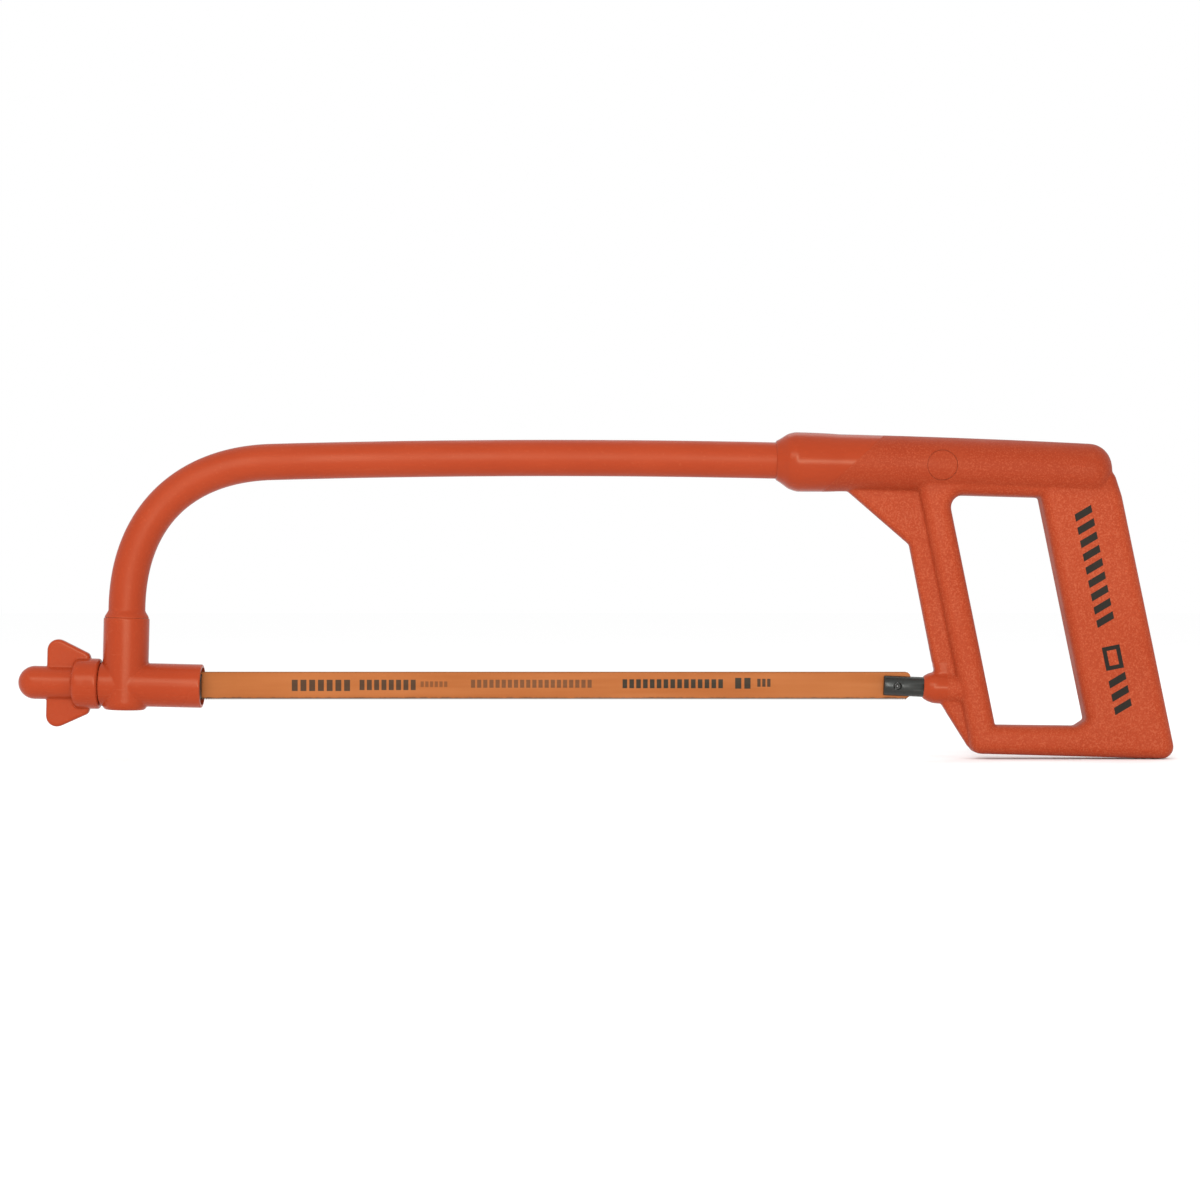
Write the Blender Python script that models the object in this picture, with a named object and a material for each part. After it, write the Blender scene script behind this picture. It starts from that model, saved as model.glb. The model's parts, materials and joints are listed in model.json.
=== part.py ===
"""Hacksaw with an insulated tubular bow, a D-shaped handle and a wing nut that tensions the blade.

Metres and radians, +Z up. +X runs along the blade from the wing nut to the handle, and Y is the
thickness of the saw. The lowest edge of the handle is at Z = 0 and the saw's mid plane is Y = 0.
"""
import math

import bmesh
import bpy
from mathutils import Matrix, Vector
from mathutils.geometry import interpolate_bezier

GAP = 0.0003
THROUGH = 0.03

# Blade and its two pins
PIN_SPACING = 0.300
BLADE_HEIGHT = 0.0120
BLADE_THICKNESS = 0.00063
BLADE_LINE_Z = 0.0306
BLADE_END = 0.0063
BLADE_CORNER = 0.0023
BLADE_TOOTH_CORNER = 0.0012
TOOTH_PITCH = 0.0254 / 24
TOOTH_DEPTH = 0.0008
TOOTH_RAKE = 0.12
TOOTH_SET = 0.00016
TEETH_PER_WAVE = 8
PIN_RADIUS = 0.0014
PIN_HOLE_RADIUS = 0.00155
BLADE_HOLE_RADIUS = 0.0021
PIN_PLAY = 0.0004
REAR_PIN_X = 0.1281
FRONT_PIN_X = REAR_PIN_X - PIN_SPACING
SLOT_WIDTH = 0.0012

# T-shaped fitting at the front: its arms and leg are tilted a little in the saw's plane
TILT = math.radians(1.3)
TEE_X = -0.1990
TEE_Z = BLADE_LINE_Z + (FRONT_PIN_X - TEE_X) * math.tan(TILT)
COLLAR_RADIUS = 0.0096
COLLAR_BOTTOM = -0.0108
COLLAR_TOP = 0.0283
COLLAR_EDGE = 0.0005
ARM_RADIUS = 0.00925
ARM_LEFT = -0.0102
ARM_MOUTH = 0.0328
ARM_BORE = 0.0080
BUSH_RADIUS = 0.0068
BUSH_RIGHT = 0.0122
SLEEVE_SEAT = 0.0147

# Bow: steel tube in a plastic sleeve that flares out at its foot. Leg, bend, then cambered run
CORE_RADIUS = 0.00635
CORE_BORE = 0.00485
SLEEVE_RADIUS = 0.0077
FLARE_RADIUS = 0.0092
FLARE_INNER = 0.0072
FLARE_TOP = 0.0314
LEG_LENGTH = 0.0329
BEND_LEG_HANDLE = 0.0385
BEND_RUN_HANDLE = 0.0370
BEND_END_X = -0.1366
APEX_X = -0.0182
APEX_Z = 0.1272
CAMBER_RADIUS = 4.18
SLEEVE_END_X = 0.0885
CORE_END_X = 0.1865

# Tension rod, with an M6 x 1 thread and a square shank
THREAD_PITCH = 0.0010
THREAD_MAJOR = 0.00295
THREAD_MINOR = 0.00245
THREAD_START = -0.0310
THREAD_END = -0.0104
SHANK_HALF = 0.0030
SHANK_START = -0.0100
HEAD_START = 0.0129
HEAD_END = 0.0326
HEAD_RADIUS = 0.0055
HEAD_CHAMFER = 0.0006
HEAD_SLOT_START = 0.0196

# Wing nut
STEM_RADIUS = 0.00705
NUT_TIP = -0.0452
NUT_COLLAR_RADIUS = 0.0107
NUT_COLLAR_LEFT = -0.0217
NUT_COLLAR_RIGHT = -0.0105
WING_LEFT = -0.0331
WING_RIGHT = -0.0148
WING_OUTER = 0.0212
WING_INNER = 0.0125
WING_HALF_THICKNESS = 0.0023
WING_EDGE = 0.0014
WASHER_RADIUS = 0.0067
WASHER_RIGHT = -0.0106
WASHER_LEFT = -0.0117
INSERT_RIGHT = -0.0120
INSERT_LEFT = -0.0205
INSERT_ACROSS_FLATS = 0.0120

# Rear spigot in its boss, along an axis through the rear pin
SPIGOT_TILT = math.radians(2.5)
SPIGOT_RADIUS = 0.00425
SPIGOT_CHAMFER = 0.0004
SPIGOT_LEFT = -0.0057
SPIGOT_RIGHT = 0.0354
SPIGOT_SLOT_END = 0.0089
REAR_PIN_HALF_LENGTH = 0.0036
DIMPLE_RADIUS = 0.0019
DIMPLE_SLOPE = 0.7
ANCHOR_OFFSET = 0.0299
ANCHOR_HALF_LENGTH = 0.0070
BOSS_LEFT = 0.0110
BOSS_RADIUS = 0.0068

# Handle
TUBE_START_X = 0.0767
TUBE_END_X = 0.2188
TUBE_RADIUS = 0.0121
TUBE_END_RADIUS = 0.0118
TUBE_END_ROUNDING = 0.0090
TUBE_AXIS_X = 0.0865
TUBE_AXIS_Z = 0.1255
TUBE_SLOPE = 0.017
TUBE_DROOP = 0.13
FRAME_HALF_THICKNESS = 0.0088
FRAME_EDGE = 0.0050
WEB_HALF_THICKNESS = 0.0040
WEB_EDGE = 0.0026

# Screw that holds the bow in the handle, under two flush plugs
SCREW_X = 0.1460
SCREW_Z = 0.1237
SCREW_RADIUS = 0.0020
SCREW_HOLE = 0.0023
SCREW_TIP = -0.0090
SCREW_SEAT = 0.0069
SCREW_HEAD_RADIUS = 0.0042
SCREW_HEAD_HEIGHT = 0.0017
DRIVER_SLOT_WIDTH = 0.0008
DRIVER_SLOT_DEPTH = 0.0008
HANDLE_WASHER_RADIUS = 0.0046
HANDLE_WASHER_THICKNESS = 0.0006
HANDLE_NUT_ACROSS_FLATS = 0.0070
HANDLE_NUT_HEIGHT = 0.0017
PLUG_RADIUS = 0.00625
PLUG_INNER = 0.0095
PLUG_OUTER = 0.020
CRUSH_RADIUS = 0.0029
CRUSH_HALF_LENGTH = 0.0030

ALONG_Y = Matrix.Rotation(math.radians(90), 4, "Z")
AGAINST_Y = Matrix.Rotation(math.radians(-90), 4, "Z")
ALONG_Z = Matrix.Rotation(math.radians(-90), 4, "Y")


def clear_scene():
    for old in list(bpy.data.objects):
        bpy.data.objects.remove(old, do_unlink=True)


def make_material(name, colour, roughness, metallic):
    material = bpy.data.materials.new(name)
    material.use_nodes = True
    shader = material.node_tree.nodes["Principled BSDF"]
    shader.inputs["Base Color"].default_value = (*colour, 1.0)
    shader.inputs["Roughness"].default_value = roughness
    shader.inputs["Metallic"].default_value = metallic
    return material


# Mesh builders ---------------------------------------------------------------------------------


def bridge(bm, first, second):
    """Join two rings of the same number of vertices with quads."""
    count = len(first)
    for i in range(count):
        j = (i + 1) % count
        bm.faces.new((first[i], first[j], second[j], second[i]))


def circle_points(radius, segments):
    """Points of a circle in a plane across a piece's length."""
    angles = [2 * math.pi * i / segments for i in range(segments)]
    return [(radius * math.cos(a), radius * math.sin(a)) for a in angles]


def turned(profile, segments=32, hollow=False):
    """Solid turned about X from (x, radius) points, or a ring when the profile closes on itself."""
    bm = bmesh.new()
    rings = []
    for x, radius in profile:
        rings.append([bm.verts.new((x, y, z)) for y, z in circle_points(radius, segments)])
    for first, second in zip(rings, rings[1:]):
        bridge(bm, first, second)
    if hollow:
        bridge(bm, rings[-1], rings[0])
    else:
        bm.faces.new(rings[0])
        bm.faces.new(rings[-1])
    return bm


def drill(radius, segments=20):
    """Round cutter about X that passes right through any piece."""
    return turned([(-THROUGH, radius), (THROUGH, radius)], segments)


def prism(outline, low, high):
    """Straight prism along Y over an outline of (x, z) points."""
    bm = bmesh.new()
    near = [bm.verts.new((x, low, z)) for x, z in outline]
    far = [bm.verts.new((x, high, z)) for x, z in outline]
    bridge(bm, near, far)
    bm.faces.new(near)
    bm.faces.new(far)
    return bm


def block(low, high):
    """Box between two corners."""
    outline = [(low[0], low[2]), (high[0], low[2]), (high[0], high[2]), (low[0], high[2])]
    return prism(outline, low[1], high[1])


def hexagon(across_flats, low, high):
    """Hexagonal bar along X."""
    radius = across_flats / 2 / math.cos(math.radians(30))
    return turned([(low, radius), (high, radius)], segments=6)


def rounded_outline(corners, steps=5):
    """Outline of (x, z) points through (x, z, radius) corners, each rounded by an arc."""
    points = []
    count = len(corners)
    for i, (x, z, radius) in enumerate(corners):
        corner = Vector((x, z))
        if radius == 0:
            points.append(corner)
            continue
        back = (Vector(corners[i - 1][:2]) - corner).normalized()
        ahead = (Vector(corners[(i + 1) % count][:2]) - corner).normalized()
        half_angle = back.angle(ahead) / 2
        centre = corner + (back + ahead).normalized() * (radius / math.sin(half_angle))
        start = corner + back * (radius / math.tan(half_angle)) - centre
        end = corner + ahead * (radius / math.tan(half_angle)) - centre
        sweep = math.atan2(start.x * end.y - start.y * end.x, start.dot(end))
        for step in range(steps + 1):
            turn = Matrix.Rotation(sweep * step / steps, 2)
            points.append(centre + turn @ start)
    return points


def inset_outline(points, distance):
    """Move an outline to the left of its direction of travel, with mitred corners."""
    moved = []
    count = len(points)
    for i, point in enumerate(points):
        before = (point - points[i - 1]).normalized()
        after = (points[(i + 1) % count] - point).normalized()
        normal = Vector((-before.y - after.y, before.x + after.x)).normalized()
        half_cosine = normal.dot(Vector((-before.y, before.x)))
        moved.append(point + normal * (distance / half_cosine))
    return moved


def rounded_plate(outlines, half_thickness, edge_radius, steps=3):
    """Plate across Y with rounded edges. The outer outline runs counterclockwise, holes clockwise."""
    bm = bmesh.new()
    quarter = [math.radians(90) * i / steps for i in range(steps + 1)]
    levels = [(-1, a) for a in reversed(quarter)] + [(1, a) for a in quarter]
    end_edges = ([], [])
    for outline in outlines:
        rings = []
        for side, angle in levels:
            inset = edge_radius * (1 - math.cos(angle))
            y = side * (half_thickness - edge_radius + edge_radius * math.sin(angle))
            rings.append([bm.verts.new((p.x, y, p.y)) for p in inset_outline(outline, inset)])
        for first, second in zip(rings, rings[1:]):
            bridge(bm, first, second)
        for edges, ring in zip(end_edges, (rings[0], rings[-1])):
            edges.extend(bm.edges.get((a, b)) for a, b in zip(ring, ring[1:] + ring[:1]))
    for edges in end_edges:
        bmesh.ops.triangle_fill(bm, use_beauty=True, use_dissolve=False, edges=edges)
    return bm


def tube_along(path, outer, inner=None, segments=24):
    """Round bar or tube along (x, z) points in the saw's mid plane."""
    bm = bmesh.new()
    shells = []
    for radius in [outer] if inner is None else [outer, inner]:
        rings = []
        for i, point in enumerate(path):
            tangent = (path[min(i + 1, len(path) - 1)] - path[max(i - 1, 0)]).normalized()
            ring = []
            for across, side in circle_points(radius, segments):
                x = point.x - tangent.y * across
                z = point.y + tangent.x * across
                ring.append(bm.verts.new((x, side, z)))
            rings.append(ring)
        for first, second in zip(rings, rings[1:]):
            bridge(bm, first, second)
        shells.append(rings)
    for end in (0, -1):
        if inner is None:
            bm.faces.new(shells[0][end])
        else:
            bridge(bm, shells[0][end], shells[1][end])
    return bm


def thread_radius(x, angle, minor, major):
    """Radius of a right-hand V thread about X."""
    phase = (x / THREAD_PITCH - angle / (2 * math.pi)) % 1.0
    return minor + (major - minor) * (1 - abs(2 * phase - 1))


def thread_rings(bm, low, high, minor, major, segments=12, rows_per_turn=3):
    """Rings of a threaded surface about X, joined with quads."""
    rows = round((high - low) / THREAD_PITCH * rows_per_turn)
    rings = []
    for row in range(rows + 1):
        x = low + (high - low) * row / rows
        ring = []
        for i in range(segments):
            angle = 2 * math.pi * i / segments
            radius = thread_radius(x, angle, minor, major)
            ring.append(bm.verts.new((x, radius * math.cos(angle), radius * math.sin(angle))))
        rings.append(ring)
    for first, second in zip(rings, rings[1:]):
        bridge(bm, first, second)
    return rings


# Objects ---------------------------------------------------------------------------------------


def add_object(name, bm, material, parent=None, transform=None):
    """Turn a mesh into a named object, with its place under its parent."""
    if transform is not None:
        bm.transform(transform)
    bmesh.ops.recalc_face_normals(bm, faces=bm.faces)
    mesh = bpy.data.meshes.new(name)
    bm.to_mesh(mesh)
    bm.free()
    mesh.shade_smooth()
    mesh.set_sharp_from_angle(angle=math.radians(35))
    if material is not None:
        mesh.materials.append(material)
    piece = bpy.data.objects.new(name, mesh)
    bpy.context.collection.objects.link(piece)
    piece.parent = parent
    return piece


def combine(piece, operation, name, bm, transform=None):
    """Add or cut a hidden shape, which has the piece's own frame."""
    tool = add_object(f"{name}_tool", bm, None, piece.parent, transform)
    tool.hide_render = True
    tool.display_type = "WIRE"
    modifier = piece.modifiers.new(name, "BOOLEAN")
    modifier.operation = operation
    modifier.solver = "EXACT"
    modifier.object = tool


def cut(piece, name, bm, transform=None):
    combine(piece, "DIFFERENCE", f"{piece.name}_{name}", bm, transform)


def join(piece, name, bm, transform=None):
    combine(piece, "UNION", f"{piece.name}_{name}", bm, transform)


def add_axis(name, x, z, tilt=0.0):
    """Empty on an axis of the saw, whose X runs along that axis."""
    axis = bpy.data.objects.new(name, None)
    axis.empty_display_size = 0.01
    axis.location = (x, 0.0, z)
    axis.rotation_euler = (0.0, tilt, 0.0)
    bpy.context.collection.objects.link(axis)
    return axis


# Bow -------------------------------------------------------------------------------------------


def leg_point(height):
    """Point of the bow's leg, at a height above the tension axis."""
    return Vector((TEE_X + height * math.sin(TILT), TEE_Z + height * math.cos(TILT)))


def run_point(x):
    """Point of the bow's cambered run."""
    return Vector((x, APEX_Z - CAMBER_RADIUS + math.sqrt(CAMBER_RADIUS ** 2 - (x - APEX_X) ** 2)))


def run_points(start_x, end_x, steps):
    return [run_point(start_x + (end_x - start_x) * step / steps) for step in range(steps + 1)]


def bend_points(steps):
    """Bend between the leg and the run, tightest in its middle."""
    end = run_point(BEND_END_X)
    ahead = run_point(BEND_END_X + BEND_RUN_HANDLE) - end
    return interpolate_bezier(
        leg_point(LEG_LENGTH),
        leg_point(LEG_LENGTH + BEND_LEG_HANDLE),
        end - ahead,
        end,
        steps,
    )


def bow_path(foot, end_x, bend_steps, run_steps):
    """Centre line of the bow, from a height on the leg to a place on the run."""
    run = run_points(BEND_END_X, end_x, run_steps)
    return [leg_point(foot)] + [point.to_2d() for point in bend_points(bend_steps)] + run[1:]


def make_bow(steel, plastic):
    saddle_height = BUSH_RADIUS * 0.5
    path = bow_path(saddle_height, CORE_END_X, 12, 8)
    core = add_object("bow_core", tube_along(path, CORE_RADIUS, CORE_BORE, segments=16), steel)
    cut(core, "saddle", drill(BUSH_RADIUS + GAP, 24), tee_matrix())
    cut(core, "screw_hole", drill(SCREW_HOLE, 16), screw_matrix())

    path = bow_path(SLEEVE_SEAT + GAP, SLEEVE_END_X - GAP, 16, 8)
    sleeve = add_object("bow_sleeve", tube_along(path, SLEEVE_RADIUS, CORE_RADIUS + GAP), plastic)
    foot = COLLAR_TOP + GAP
    join(sleeve, "flare", turned([
        (foot, FLARE_RADIUS - 0.0002),
        (foot + 0.0003, FLARE_RADIUS),
        (FLARE_TOP, SLEEVE_RADIUS),
        (FLARE_TOP + 0.0008, FLARE_INNER),
        (foot, FLARE_INNER),
    ], segments=36, hollow=True), tee_matrix() @ ALONG_Z)


# Front fitting ---------------------------------------------------------------------------------


def tee_matrix():
    """Frame of the tension axis, for shapes that have no parent."""
    return Matrix.Translation((TEE_X, 0.0, TEE_Z)) @ Matrix.Rotation(TILT, 4, "Y")


def make_tee_cover(axis, plastic):
    collar = turned([
        (COLLAR_BOTTOM, COLLAR_RADIUS - 0.0021),
        (COLLAR_BOTTOM + 0.0005, COLLAR_RADIUS - 0.0010),
        (COLLAR_BOTTOM + 0.0015, COLLAR_RADIUS - 0.0003),
        (COLLAR_BOTTOM + 0.0028, COLLAR_RADIUS),
        (COLLAR_TOP - COLLAR_EDGE, COLLAR_RADIUS),
        (COLLAR_TOP - COLLAR_EDGE * 0.3, COLLAR_RADIUS - COLLAR_EDGE * 0.3),
        (COLLAR_TOP, COLLAR_RADIUS - COLLAR_EDGE),
    ], segments=36)
    cover = add_object("tee_cover", collar, plastic, axis, ALONG_Z)
    join(cover, "arm", turned([
        (ARM_LEFT, ARM_RADIUS - 0.0005),
        (ARM_LEFT + 0.0005, ARM_RADIUS),
        (ARM_MOUTH - 0.0003, ARM_RADIUS),
        (ARM_MOUTH, ARM_RADIUS - 0.0003),
    ], segments=36))
    cut(cover, "core_bore", turned([
        (0.0, CORE_RADIUS + GAP),
        (SLEEVE_SEAT, CORE_RADIUS + GAP),
        (SLEEVE_SEAT, SLEEVE_RADIUS + GAP),
        (COLLAR_TOP + 0.001, SLEEVE_RADIUS + GAP),
    ], segments=24), ALONG_Z)
    cut(cover, "arm_bore", turned([
        (ARM_LEFT - 0.001, BUSH_RADIUS + GAP),
        (BUSH_RIGHT + GAP, BUSH_RADIUS + GAP),
        (BUSH_RIGHT + GAP, ARM_BORE),
        (ARM_MOUTH + 0.001, ARM_BORE),
    ], segments=30))


def make_guide_bush(axis, steel):
    bush = add_object("guide_bush", turned([
        (ARM_LEFT, BUSH_RADIUS),
        (BUSH_RIGHT, BUSH_RADIUS),
    ], segments=28), steel, axis)
    half = SHANK_HALF + GAP * 0.7
    cut(bush, "square_hole", block((-THROUGH, -half, -half), (THROUGH, half, half)))


def make_tension_rod(axis, steel):
    bm = bmesh.new()
    rings = thread_rings(bm, THREAD_START, THREAD_END, THREAD_MINOR, THREAD_MAJOR)
    bm.faces.new(rings[0])
    bm.faces.new(rings[-1])
    rod = add_object("tension_rod", bm, steel, axis)
    overlap = 0.0005
    join(rod, "neck", turned([
        (THREAD_END - overlap, THREAD_MINOR * 0.9),
        (SHANK_START + overlap, THREAD_MINOR * 0.9),
    ], segments=16))
    shank_low = (SHANK_START, -SHANK_HALF, -SHANK_HALF)
    shank_high = (HEAD_START + overlap, SHANK_HALF, SHANK_HALF)
    join(rod, "shank", block(shank_low, shank_high))
    join(rod, "head", turned([
        (HEAD_START, HEAD_RADIUS - HEAD_CHAMFER),
        (HEAD_START + HEAD_CHAMFER, HEAD_RADIUS),
        (HEAD_END - HEAD_CHAMFER, HEAD_RADIUS),
        (HEAD_END, HEAD_RADIUS - HEAD_CHAMFER),
    ], segments=28))
    cut(rod, "slot", blade_slot(HEAD_SLOT_START, HEAD_SLOT_START + THROUGH))
    cut(rod, "pin_hole", drill(PIN_HOLE_RADIUS), front_pin_matrix())


def blade_slot(left, right):
    """Cutter for the slot that the blade sits in."""
    half = SLOT_WIDTH / 2
    return block((left, -half, -THROUGH), (right, half, THROUGH))


def front_pin_matrix():
    """Place of the front pin in the tension axis's frame."""
    return Matrix.Translation(((FRONT_PIN_X - TEE_X) / math.cos(TILT), 0.0, 0.0)) @ ALONG_Y


def dowel(half_length, chamfer=0.0003):
    """Round pin about X with chamfered ends."""
    return turned([
        (-half_length, PIN_RADIUS - chamfer),
        (chamfer - half_length, PIN_RADIUS),
        (half_length - chamfer, PIN_RADIUS),
        (half_length, PIN_RADIUS - chamfer),
    ], segments=20)


def make_wing_nut_cover(axis, plastic):
    dome = []
    dome_steps = 7
    for step in range(1, dome_steps + 1):
        angle = math.radians(90) * step / dome_steps
        x = NUT_TIP + STEM_RADIUS * (1 - math.cos(angle))
        dome.append((x, STEM_RADIUS * math.sin(angle)))
    cover = add_object("wing_nut_cover", turned([(NUT_TIP, 0.0006)] + dome + [
        (NUT_COLLAR_LEFT, STEM_RADIUS),
        (NUT_COLLAR_LEFT + 0.0003, NUT_COLLAR_RADIUS - 0.0016),
        (NUT_COLLAR_LEFT + 0.0009, NUT_COLLAR_RADIUS - 0.0006),
        (NUT_COLLAR_LEFT + 0.0021, NUT_COLLAR_RADIUS),
        (NUT_COLLAR_RIGHT - 0.0012, NUT_COLLAR_RADIUS),
        (NUT_COLLAR_RIGHT - 0.0004, NUT_COLLAR_RADIUS - 0.0004),
        (NUT_COLLAR_RIGHT, NUT_COLLAR_RADIUS - 0.0012),
    ], segments=36), plastic, axis)
    wings = rounded_outline([
        (WING_LEFT, -WING_OUTER, 0.0046),
        (WING_RIGHT, -WING_INNER, 0.0025),
        (WING_RIGHT, WING_INNER, 0.0025),
        (WING_LEFT, WING_OUTER, 0.0046),
    ])
    join(cover, "wings", rounded_plate([wings], WING_HALF_THICKNESS, WING_EDGE))
    cut(cover, "washer_recess", turned([
        (WASHER_LEFT - GAP, WASHER_RADIUS + GAP),
        (NUT_COLLAR_RIGHT + 0.001, WASHER_RADIUS + GAP),
    ], segments=24))
    cut(cover, "insert_pocket", hexagon(INSERT_ACROSS_FLATS + 2 * GAP, INSERT_LEFT - GAP,
                                        WASHER_LEFT + 0.0005))
    cut(cover, "rod_bore", turned([
        (THREAD_START - 0.0015, THREAD_MAJOR + 0.0006),
        (INSERT_LEFT + 0.001, THREAD_MAJOR + 0.0006),
    ], segments=16))


def make_wing_nut_insert(axis, brass):
    """Hexagonal insert, each of whose flats has a middle point, so that it meets a 12-sided thread."""
    bm = bmesh.new()
    rings = thread_rings(bm, INSERT_LEFT, INSERT_RIGHT, THREAD_MINOR + GAP, THREAD_MAJOR + GAP)
    radius = INSERT_ACROSS_FLATS / 2 / math.cos(math.radians(30))
    corners = [Vector(point) for point in circle_points(radius, 6)]
    border = []
    for corner, following in zip(corners, corners[1:] + corners[:1]):
        border += [corner, (corner + following) / 2]
    ends = []
    for x in (INSERT_LEFT, INSERT_RIGHT):
        ends.append([bm.verts.new((x, point.x, point.y)) for point in border])
    bridge(bm, ends[0], ends[1])
    bridge(bm, ends[0], rings[0])
    bridge(bm, ends[1], rings[-1])
    add_object("wing_nut_insert", bm, brass, axis)


def flat_washer(low, high, outer, bore, segments=24):
    """Flat ring about X."""
    return turned([(low, outer), (high, outer), (high, bore), (low, bore)], segments, hollow=True)


# Blade -----------------------------------------------------------------------------------------


def blade_half(bm, side, left, right, holes):
    """One side face of the blade: a flat body, and teeth whose tips lean in a wave."""
    y = side * BLADE_THICKNESS / 2
    top = BLADE_HEIGHT / 2
    root = TOOTH_DEPTH - BLADE_HEIGHT / 2
    first_tooth = left + BLADE_TOOTH_CORNER
    teeth = int((right - BLADE_TOOTH_CORNER - first_tooth) / TOOTH_PITCH)
    gullets = [bm.verts.new((first_tooth + i * TOOTH_PITCH, y, root)) for i in range(teeth + 1)]
    tips = []
    for i in range(teeth):
        lean = TOOTH_SET * math.sin(2 * math.pi * i / TEETH_PER_WAVE)
        x = first_tooth + (i + TOOTH_RAKE) * TOOTH_PITCH
        tips.append(bm.verts.new((x, y + lean, -BLADE_HEIGHT / 2)))
        bm.faces.new((gullets[i], tips[i], gullets[i + 1]))
    steps = 3
    turn = [math.radians(90) * step / steps for step in range(steps + 1)]
    reach = [(BLADE_CORNER * (1 - math.cos(a)), BLADE_CORNER * (1 - math.sin(a))) for a in turn]
    upper = [(right, root + BLADE_TOOTH_CORNER)]
    upper += [(right - across, top - down) for across, down in reach]
    upper += [(left + across, top - down) for across, down in reversed(reach)]
    upper += [(left, root + BLADE_TOOTH_CORNER)]
    upper = [bm.verts.new((x, y, z)) for x, z in upper]
    outline = gullets + upper
    edges = []
    for a, b in zip(outline, outline[1:] + outline[:1]):
        edges.append(bm.edges.get((a, b)) or bm.edges.new((a, b)))
    rings = []
    for x in holes:
        ring = [bm.verts.new((x + dx, y, dz)) for dx, dz in circle_points(BLADE_HOLE_RADIUS, 20)]
        edges.extend(bm.edges.new((a, b)) for a, b in zip(ring, ring[1:] + ring[:1]))
        rings.append(ring)
    bmesh.ops.triangle_fill(bm, use_beauty=True, use_dissolve=False, edges=edges)
    border = []
    for gullet, tip in zip(gullets, tips):
        border += [gullet, tip]
    return [border + [gullets[-1]] + upper] + rings


def make_blade(paint):
    """Blade about its own pin line. Tension draws it to the left on the rear pin."""
    bm = bmesh.new()
    half = PIN_SPACING / 2 - PIN_PLAY
    end = half + BLADE_END
    near_side = blade_half(bm, -1, -end, end, (-half, half))
    far_side = blade_half(bm, 1, -end, end, (-half, half))
    for near, far in zip(near_side, far_side):
        bridge(bm, near, far)
    blade = add_object("blade", bm, paint)
    blade.location = ((REAR_PIN_X + FRONT_PIN_X) / 2, 0.0, BLADE_LINE_Z)


# Rear spigot and handle ------------------------------------------------------------------------


def spigot_matrix():
    """Frame of the spigot's axis, for shapes that have no parent."""
    place = Matrix.Translation((REAR_PIN_X, 0.0, BLADE_LINE_Z))
    return place @ Matrix.Rotation(SPIGOT_TILT, 4, "Y")


def anchor_matrix():
    """Place of the anchor pin in the spigot's frame."""
    return Matrix.Translation((ANCHOR_OFFSET, 0.0, 0.0)) @ ALONG_Y


def make_spigot(steel, pin_steel):
    axis = add_axis("spigot_axis", REAR_PIN_X, BLADE_LINE_Z, SPIGOT_TILT)
    spigot = add_object("rear_spigot", turned([
        (SPIGOT_LEFT, SPIGOT_RADIUS - SPIGOT_CHAMFER),
        (SPIGOT_LEFT + SPIGOT_CHAMFER, SPIGOT_RADIUS),
        (SPIGOT_RIGHT, SPIGOT_RADIUS),
    ], segments=32), steel, axis)
    cut(spigot, "slot", blade_slot(SPIGOT_LEFT - THROUGH, SPIGOT_SLOT_END))
    cut(spigot, "pin_hole", drill(PIN_HOLE_RADIUS), ALONG_Y)
    cut(spigot, "anchor_hole", drill(PIN_HOLE_RADIUS), anchor_matrix())
    dimple_depth = 0.0008
    for name, direction in (("near_dimple", AGAINST_Y), ("far_dimple", ALONG_Y)):
        cut(spigot, name, turned([
            (SPIGOT_RADIUS - dimple_depth, DIMPLE_RADIUS - dimple_depth * DIMPLE_SLOPE),
            (SPIGOT_RADIUS + dimple_depth, DIMPLE_RADIUS + dimple_depth * DIMPLE_SLOPE),
        ], segments=20), direction)
    add_object("rear_blade_pin", dowel(REAR_PIN_HALF_LENGTH), pin_steel, axis, ALONG_Y)
    add_object("spigot_anchor_pin", dowel(ANCHOR_HALF_LENGTH), pin_steel, axis, anchor_matrix())


def tube_axis_z(x):
    """Height of the handle tube's centre: on the bow at the nose, then drooping to the rear."""
    run = x - TUBE_AXIS_X
    height = TUBE_AXIS_Z - TUBE_SLOPE * run - TUBE_DROOP * run * run
    nose_share = max(0.0, run / (TUBE_START_X - TUBE_AXIS_X))
    return height + (run_point(TUBE_START_X).y - height) * nose_share


def handle_tube():
    """Round top of the handle: a blunt nose, a long barrel and a rounded rear end."""
    stations = [
        (TUBE_START_X, SLEEVE_RADIUS + GAP + 0.0002),
        (TUBE_START_X + 0.0024, 0.0096),
        (TUBE_START_X + 0.0050, 0.0114),
        (TUBE_START_X + 0.0068, 0.0121),
        (TUBE_START_X + 0.0084, 0.0125),
        (TUBE_START_X + 0.0110, 0.0126),
        (TUBE_START_X + 0.0210, 0.0124),
    ]
    barrel_start = TUBE_START_X + 0.0270
    barrel_end = TUBE_END_X - TUBE_END_ROUNDING
    barrel_steps = 3
    for step in range(barrel_steps + 1):
        share = step / barrel_steps
        x = barrel_start + (barrel_end - barrel_start) * share
        stations.append((x, TUBE_RADIUS + (TUBE_END_RADIUS - TUBE_RADIUS) * share))
    end_steps = 5
    for step in range(1, end_steps + 1):
        angle = math.radians(90) * step / end_steps
        x = barrel_end + TUBE_END_ROUNDING * math.sin(angle)
        stations.append((x, TUBE_END_RADIUS - TUBE_END_ROUNDING * (1 - math.cos(angle))))
    bm = bmesh.new()
    rings = []
    for x, radius in stations:
        points = circle_points(radius, 36)
        rings.append([bm.verts.new((x, y, tube_axis_z(x) + z)) for y, z in points])
    for first, second in zip(rings, rings[1:]):
        bridge(bm, first, second)
    bm.faces.new(rings[0])
    bm.faces.new(rings[-1])
    return bm


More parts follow.
